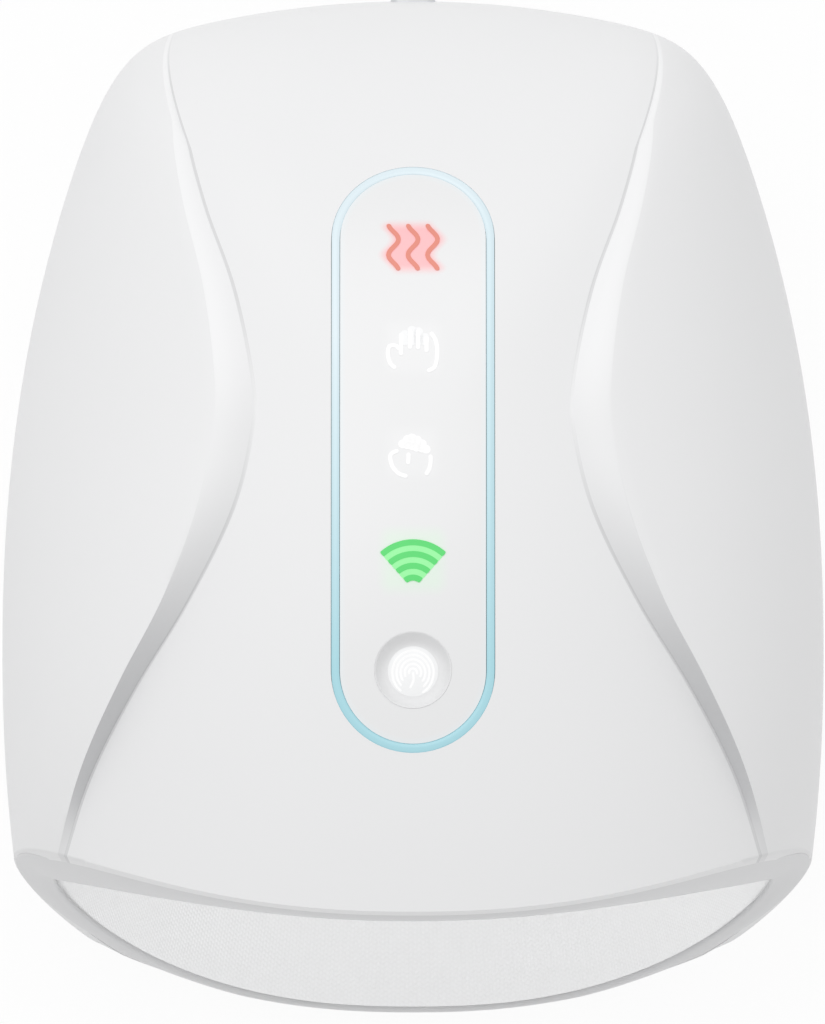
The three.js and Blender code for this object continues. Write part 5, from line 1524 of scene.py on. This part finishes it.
    def open_hand_fill(self):
        """The fainter light behind the raised fingers."""
        bars = (-1.6, 0.4, 3.6), (-0.2, 0.4, 4.5), (1.1, 0.4, 4.2), (2.3, 0.4, 3.0)
        return self.upright(SYMBOLS["fingers"], *bars)

    def closed_hand(self):
        """A closed hand: the thumb and the palm's edge curve down to the wrist round a short fold."""
        middle = SYMBOLS["palm"]
        thumb = (-2.9, 0.5), (-4.5, -0.5), (-4.1, -2.8), (-2.8, -4.3), (-1.1, -4.9)
        edge = (3.5, -0.4), (3.5, -2.0), (3.2, -3.4), (2.5, -4.6)
        fold = (-0.9, 0.0), (-0.9, -1.2), (-1.0, -2.4)
        return [self.outline(middle, *points) for points in (thumb, edge, fold)]

    def closed_hand_fill(self):
        """The closed fingers, drawn as one shape."""
        fingers = (-2.0, 0.9, 2.7), (-1.1, 0.7, 3.6), (-0.2, 0.5, 3.9), (0.8, 0.2, 3.5)
        return self.upright(SYMBOLS["palm"], *fingers, (1.8, 0.0, 2.7), (2.6, -0.2, 1.6))

    @staticmethod
    def arcs(radii):
        """Arcs of the level symbol, which widen upwards from one place."""
        start, end = 90 + LEVEL_HALF_ANGLE, 90 - LEVEL_HALF_ANGLE
        return [arc(LEVEL_APEX, radius, start, end, LEVEL_STRETCH) for radius in radii]


def button_place():
    """Place of the push button: square to the crown at its middle."""
    slope = crown_at(BUTTON_Y + WALL) - crown_at(BUTTON_Y - WALL)
    tilt = math.atan2(slope, 2 * WALL)
    return Matrix.Translation((0, BUTTON_Y, crown_at(BUTTON_Y))) @ Matrix.Rotation(tilt, 4, "X")


class BuildButton(bpy.types.Operator):
    """Build the dished push button and its lit print"""

    bl_idname = "massager.button"
    bl_label = "Push button"

    def execute(self, context):
        strip = context.scene.strip_settings
        gloss = moulding("button_satin", tuple(strip.panel), 0.5, depth=0.04, amount=0.01, shine=0.1)
        window = lit("print_glow", PALE_LIGHT, share_lit=0.35, unevenness=0.02)
        lines = lit("print_light", WHITE, share_lit=0.5, unevenness=0.01)
        pieces = (
            ("push_button", self.cap(strip.dish), gloss, "strip_white", ["power_button"], 50.0),
            ("print_window", self.window(strip.dish), window, "light_guide", (), 38.0),
            ("print_lines", self.ridges(strip.dish), lines, "light_guide", (), 60.0),
        )
        for name, form, material, slot, replaced, sharp in pieces:
            form.transform(button_place())
            finished(name, form, material, "button", slot, replaced, sharp)
        return {"FINISHED"}

    @staticmethod
    def cap(dish):
        """The cap: a steep-walled dish, a rounded rim, and a skirt with its flange and stem."""
        wall = []
        for k in range(DISH_STEPS + 1):
            part = k / DISH_STEPS
            depth = CAP_BEAD + (dish - CAP_BEAD) * (1 - part**DISH_POWER)
            wall.append((lerp(DISH_FLOOR_RADIUS, BUTTON_RADIUS - CAP_EDGE, part), -depth))
        flange = -(WALL + 2 * CLEARANCE)
        under = flange - BUTTON_FLANGE
        end = under - BUTTON_STEM_RADIUS
        skirt = [
            *[(BUTTON_RADIUS + out, height) for out, height in CAP_ROUNDING],
            (BUTTON_RADIUS, flange),
            (BUTTON_RADIUS + BUTTON_FLANGE, flange),
            (BUTTON_RADIUS + BUTTON_FLANGE, under),
            (BUTTON_STEM_RADIUS, under),
            (BUTTON_STEM_RADIUS, end),
            (0, end),
        ]
        return turned([(0, -dish), (0.5 * DISH_FLOOR_RADIUS, -dish), *wall, *skirt], FINE_ROUND_STEPS)

    @staticmethod
    def window(dish):
        """The lit disc on the dish's floor."""
        inner, outer = PRINT_RADIUS - PRINT_CHAMFER, PRINT_RADIUS
        profile = [(0, INLAY), (inner, INLAY), (outer, 0), (outer, -INLAY), (0, -INLAY)]
        form = turned(profile, FINE_ROUND_STEPS)
        form.transform(Matrix.Translation((0, 0, -dish)))
        return form

    @staticmethod
    def ridges(dish):
        """Bent ridges round a short tail, each a little longer than the one inside it."""

        def dish_floor(x, y):
            return -dish

        lines = []
        for k in range(RIDGES):
            start, end = RIDGE_START + RIDGE_START_STEP * k, RIDGE_END + RIDGE_END_STEP * k
            path = arc(RIDGE_MIDDLE, RIDGE_FIRST + RIDGE_PITCH * k, start, end, RIDGE_STRETCH)
            lines.append(stroke(path, RIDGE_WIDTH, dish_floor, RIDGE_LIFT, RIDGE_ROWS))
        tail = curve_through(*RIDGE_TAIL)
        return gathered(*lines, stroke(tail, RIDGE_WIDTH, dish_floor, RIDGE_LIFT))


class BuildFittings(bpy.types.Operator):
    """Build the feet, the casing screws and the charging socket"""

    bl_idname = "massager.fittings"
    bl_label = "Feet, screws and socket"

    def execute(self, context):
        self.feet(context.scene.soft_settings)
        self.screws()
        self.socket()
        return {"FINISHED"}

    def feet(self, soft):
        """Rubber feet with a rounded edge, a dimple and two grooves."""
        rubber = moulding("foot_rubber", tuple(soft.foot), 0.85, depth=0.5, amount=0.25, scale=1500)
        for node, spot in zip(FEET, middles(*FEET)):
            radius, top = radius_of(node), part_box(node)[1].z
            profile = [*FOOT_DIMPLE]
            for groove in FOOT_GROOVES:
                profile += [(groove + out, height) for out, height in GROOVE_SECTION]
            profile += [(radius + out, height) for out, height in FOOT_ROUNDING]
            form = turned([*profile, (radius, top), (0, top)])
            form.transform(Matrix.Translation((spot.x, spot.y, 0)))
            name = node.replace("rubber_foot", "foot")
            finished(name, form, rubber, "housing", "dark_rubber", [node], sharp=45.0)

    def screws(self):
        """Casing screws with a cross recess and a few turns of thread."""
        for node, spot in zip(CASING_SCREWS, middles(*CASING_SCREWS)):
            low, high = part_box(node)
            head, tall, thick = radius_of(node), high.z - low.z, SCREW_HEAD_HEIGHT
            shank = SHANK_SHARE * head
            profile = [
                (0, 0), (SCREW_FACE_SHARE * head, 0.0001), (head - 0.0002, thick / 3), (head, thick / 2),
                (head, thick), (shank, thick),
            ]  # fmt: skip
            pitch = (tall - thick) / (SCREW_TURNS + 2)
            for k in range(SCREW_TURNS):
                base = thick + pitch * (k + 0.5)
                profile += [(THREAD_ROOT_SHARE * shank, base), (shank, base + 0.5 * pitch)]
            profile += [(SCREW_TIP_SHARE * shank, thick + pitch * (SCREW_TURNS + 0.7)), (0, tall)]
            form = turned(profile, SCREW_STEPS)
            form.transform(Matrix.Translation((spot.x, spot.y, low.z)))
            reach = RECESS_SHARE * head
            for x, y in ((reach, RECESS_ARM), (RECESS_ARM, reach)):
                near = (spot.x - x, spot.y - y, low.z - RECESS_DEPTH)
                far = (spot.x + x, spot.y + y, low.z + RECESS_DEPTH)
                form = combined(form, "DIFFERENCE", box(near, far))
            name = node.replace("casing_", "cross_")
            finished(name, form, zinc_plate(), "housing", "steel", [node], sharp=35.0)

    def socket(self):
        """A rounded charging socket with its tongue and contacts."""
        low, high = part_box("charging_socket")
        middle = (low + high) / 2
        outer = (high.z - low.z) / 2
        inner = outer - SOCKET_WALL
        straight = (high.x - low.x) / 2 - outer
        back = low.y + SOCKET_BACK
        lip = [(outer + out, high.y + along) for out, along in SOCKET_LIP]
        path = [(outer, low.y), *lip, (inner, back), (SOCKET_LINE, back), (SOCKET_LINE, low.y)]

        def tube(u, v):
            radius, y = path[round(v * len(path)) % len(path)]
            angle = math.tau * u
            side = math.copysign(straight, math.cos(angle)) if abs(math.cos(angle)) > 1e-6 else 0.0
            return Vector((side + radius * math.cos(angle), y, middle.z + radius * math.sin(angle)))

        shell = band(FINE_ROUND_STEPS, len(path), tube)
        steel = metal("socket_steel", (0.66, 0.67, 0.69), 0.25)
        finished("socket_shell", shell, steel, "housing", "steel", ["charging_socket"], sharp=40.0)
        tongue = box(
            (middle.x - straight, low.y + TONGUE_BACK, middle.z - TONGUE_HALF),
            (middle.x + straight, high.y - TONGUE_FRONT, middle.z + TONGUE_HALF),
            edge=TONGUE_EDGE,
        )
        finished("socket_tongue", tongue, black_plastic(), "housing", "black_plastic")
        pads, spread = [], CONTACT_SPREAD_SHARE * straight
        for k in range(CONTACTS):
            x = lerp(middle.x - spread, middle.x + spread, k / (CONTACTS - 1))
            for side in (-1, 1):
                z = middle.z + side * CONTACT_HEIGHT
                near = (x - CONTACT_HALF, high.y - CONTACT_BACK, z - CONTACT_HALF_THICKNESS)
                far = (x + CONTACT_HALF, high.y - CONTACT_FRONT, z + CONTACT_HALF_THICKNESS)
                pads.append(box(near, far))
        gold = metal("contact_gold", (0.8, 0.56, 0.22), 0.25)
        finished("socket_contacts", gathered(*pads), gold, "housing", "steel")


class FinishInside(bpy.types.Operator):
    """Give the parts inside the casings their materials"""

    bl_idname = "massager.inside"
    bl_label = "Parts inside"

    def execute(self, context):
        finishes = {
            moulding("frame_moulding", (0.7, 0.7, 0.68), 0.5, depth=0.2, amount=0.08): (
                "upper_frame", "palm_plate", "battery_tray", "light_baffle", "air_manifold", "pump_cradle",
            ),
            board_mask(): ("led_board", "main_board", "switch_board", "charging_board"),
            black_plastic(): (
                "tact_switch", "switch_plunger", "control_chip", "buzzer", "board_connector", "pump_head",
                "inner_valve_body", "outer_valve_body",
            ),
            zinc_plate(): (
                "led_board_screw_front", "led_board_screw_back", "main_board_screw_front",
                "main_board_screw_back", *["frame_screw_" + corner for corner in CORNERS],
            ),
            metal("motor_can", (0.55, 0.56, 0.57), 0.3, 700): ("pump_motor",),
            metal("ground_steel", (0.62, 0.62, 0.63), 0.18): (
                "pump_shaft", "inner_valve_plunger", "outer_valve_plunger",
            ),
            heater_foil(): ("heating_film",),
            moulding("cell_wrap", (0.16, 0.28, 0.42), 0.38, depth=0.25, amount=0.12, scale=300): (
                "battery_cell_left", "battery_cell_right",
            ),
            soft_film("hose_tube", (0.78, 0.81, 0.83), 0.35): ("pump_hose", "palm_hose", "finger_hose"),
            moulding("lead_skin", (0.06, 0.06, 0.065), 0.6, depth=0.2, amount=0.1): ("pump_lead",),
            lit("lamp_lens", (0.95, 0.93, 0.82), 0.3): ("heat_led", "fingers_led", "palm_led", "level_led"),
        }  # fmt: skip
        for material, nodes in finishes.items():
            for node in nodes:
                mesh = frame["nodes"][node].data
                mesh.materials.clear()
                mesh.materials.append(material)
        return {"FINISHED"}


class BuildStage(bpy.types.Operator):
    """Build the floor, the lamps and the camera"""

    bl_idname = "massager.stage"
    bl_label = "Stage"

    KEY_WIDTH, KEY_PLACE = 1.0, (-0.22, 0.46, 1.19)
    MOUTH_WIDTH, MOUTH_PLACE = 0.7, (-0.1, -0.95, 0.85)
    FLOOR_RADIUS = 12
    FLOOR_WHITE = 0.94
    PIXELS_PER_METRE = 4980
    VIEW_PIXELS = 1024
    VIEW_MIDDLE = (-0.0001, -0.0072, 0.0475)
    LENS = 1000
    SENSOR = 36
    NEAR, FAR = 0.1, 60

    def execute(self, context):
        stage = context.scene.stage_settings
        self.floor(stage)
        self.world(stage)
        self.lamp("key_lamp", stage.key, self.KEY_WIDTH, self.KEY_PLACE)
        mouth = self.lamp("mouth_lamp", stage.mouth, self.MOUTH_WIDTH, self.MOUTH_PLACE)
        self.only_lights(mouth, "roof_lining", "floor_lining")
        self.camera(stage)
        context.scene.view_settings.view_transform = "Standard"
        return {"FINISHED"}

    def floor(self, stage):
        """A wide plain floor that keeps the object's shadow, a hair below the feet."""
        form = bmesh.new()
        bmesh.ops.create_circle(form, cap_ends=True, segments=128, radius=self.FLOOR_RADIUS)
        mesh = mesh_of(form, "floor")
        floor = scene_object("floor", mesh)
        floor.location.z = -CLOSE_GAP
        made, tree, _, _ = new_material("floor_paper", Roughness=0.9, Base_Color=opaque(stage.floor))
        paper = tree.nodes["Principled BSDF"].outputs[0]
        bright = add(tree, "Emission", {"Color": (1, 1, 1, 1), "Strength": 1.0})[0]
        part = maths(tree, "MULTIPLY", self.seen_ray(tree), self.FLOOR_WHITE)
        look = add(tree, "MixShader", {0: part, 1: paper, 2: bright})[0]
        fill(tree, tree.nodes["Material Output"].inputs, {"Surface": look})
        mesh.materials.append(made)

    @staticmethod
    def seen_ray(tree):
        """1 for rays from the camera, also by way of gloss or glass."""
        light = add(tree, "LightPath")
        gloss = maths(tree, "MAXIMUM", light["Is Camera Ray"], light["Is Glossy Ray"])
        return maths(tree, "MAXIMUM", gloss, light["Is Transmission Ray"])

    def world(self, stage):
        """Even light from all round, on a white background."""
        world = bpy.data.worlds.new("studio")
        world.use_nodes = True
        tree = world.node_tree
        seen = self.seen_ray(tree)
        strength = maths(tree, "MULTIPLY_ADD", seen, 1.0 - stage.ambient, stage.ambient)
        fill(tree, tree.nodes["Background"].inputs, {"Color": (1, 1, 1, 1), "Strength": strength})
        bpy.context.scene.world = world

    def lamp(self, name, power, size, place):
        """A large soft lamp that faces the object."""
        light = bpy.data.lights.new(name, "AREA")
        light.energy, light.shape, light.size = power, "DISK", size
        lamp = scene_object(name, light)
        lamp.location = place
        lamp.visible_camera = False
        lamp.rotation_euler = (-Vector(place)).to_track_quat("-Z", "Y").to_euler()
        return lamp

    @staticmethod
    def only_lights(lamp, *pieces):
        """Keeps a lamp's light on the named pieces."""
        lit_pieces = bpy.data.collections.new(lamp.name + "_pieces")
        for name in pieces:
            lit_pieces.objects.link(bpy.data.objects[name])
        lamp.light_linking.receiver_collection = lit_pieces

    def camera(self, stage):
        """A long lens from over the mouth, framed as the photograph is."""
        height = self.VIEW_PIXELS / self.PIXELS_PER_METRE
        distance = height * self.LENS / self.SENSOR
        lens = bpy.data.cameras.new("camera")
        lens.lens, lens.sensor_width = self.LENS, self.SENSOR
        lens.clip_start, lens.clip_end = self.NEAR, self.FAR
        camera = scene_object("camera", lens)
        back = Vector((0, -math.cos(stage.elevation), math.sin(stage.elevation)))
        camera.location = Vector(self.VIEW_MIDDLE) + back * distance
        camera.rotation_euler = (-back).to_track_quat("-Z", "Y").to_euler()
        bpy.context.scene.camera = camera


OPERATORS = (
    BuildCasings,
    BuildMouth,
    BuildLinings,
    BuildAirBags,
    BuildStrip,
    BuildButton,
    BuildFittings,
    FinishInside,
    BuildStage,
)
SETTINGS = {
    "casing_settings": CasingSettings,
    "soft_settings": SoftSettings,
    "strip_settings": StripSettings,
    "stage_settings": StageSettings,
}


class MassagerPanel(bpy.types.Panel):
    """Lists the settings and the steps"""

    bl_idname = "VIEW3D_PT_massager"
    bl_label = "Hand Massager"
    bl_space_type = "VIEW_3D"
    bl_region_type = "UI"
    bl_category = "Massager"

    def draw(self, context):
        for name, settings in SETTINGS.items():
            column = self.layout.column(align=True)
            for field in settings.__annotations__:
                column.prop(getattr(context.scene, name), field)
        for operator in OPERATORS:
            self.layout.operator(operator.bl_idname)


def register():
    for made in (*SETTINGS.values(), *OPERATORS, MassagerPanel):
        bpy.utils.register_class(made)
    for name, settings in SETTINGS.items():
        setattr(bpy.types.Scene, name, bpy.props.PointerProperty(type=settings))


def unregister():
    for name in SETTINGS:
        delattr(bpy.types.Scene, name)
    for made in (MassagerPanel, *reversed(OPERATORS), *reversed(SETTINGS.values())):
        bpy.utils.unregister_class(made)


def main():
    register()
    for operator in OPERATORS:
        group, name = operator.bl_idname.split(".")
        getattr(getattr(bpy.ops, group), name)()


if __name__ == "__main__":
    main()
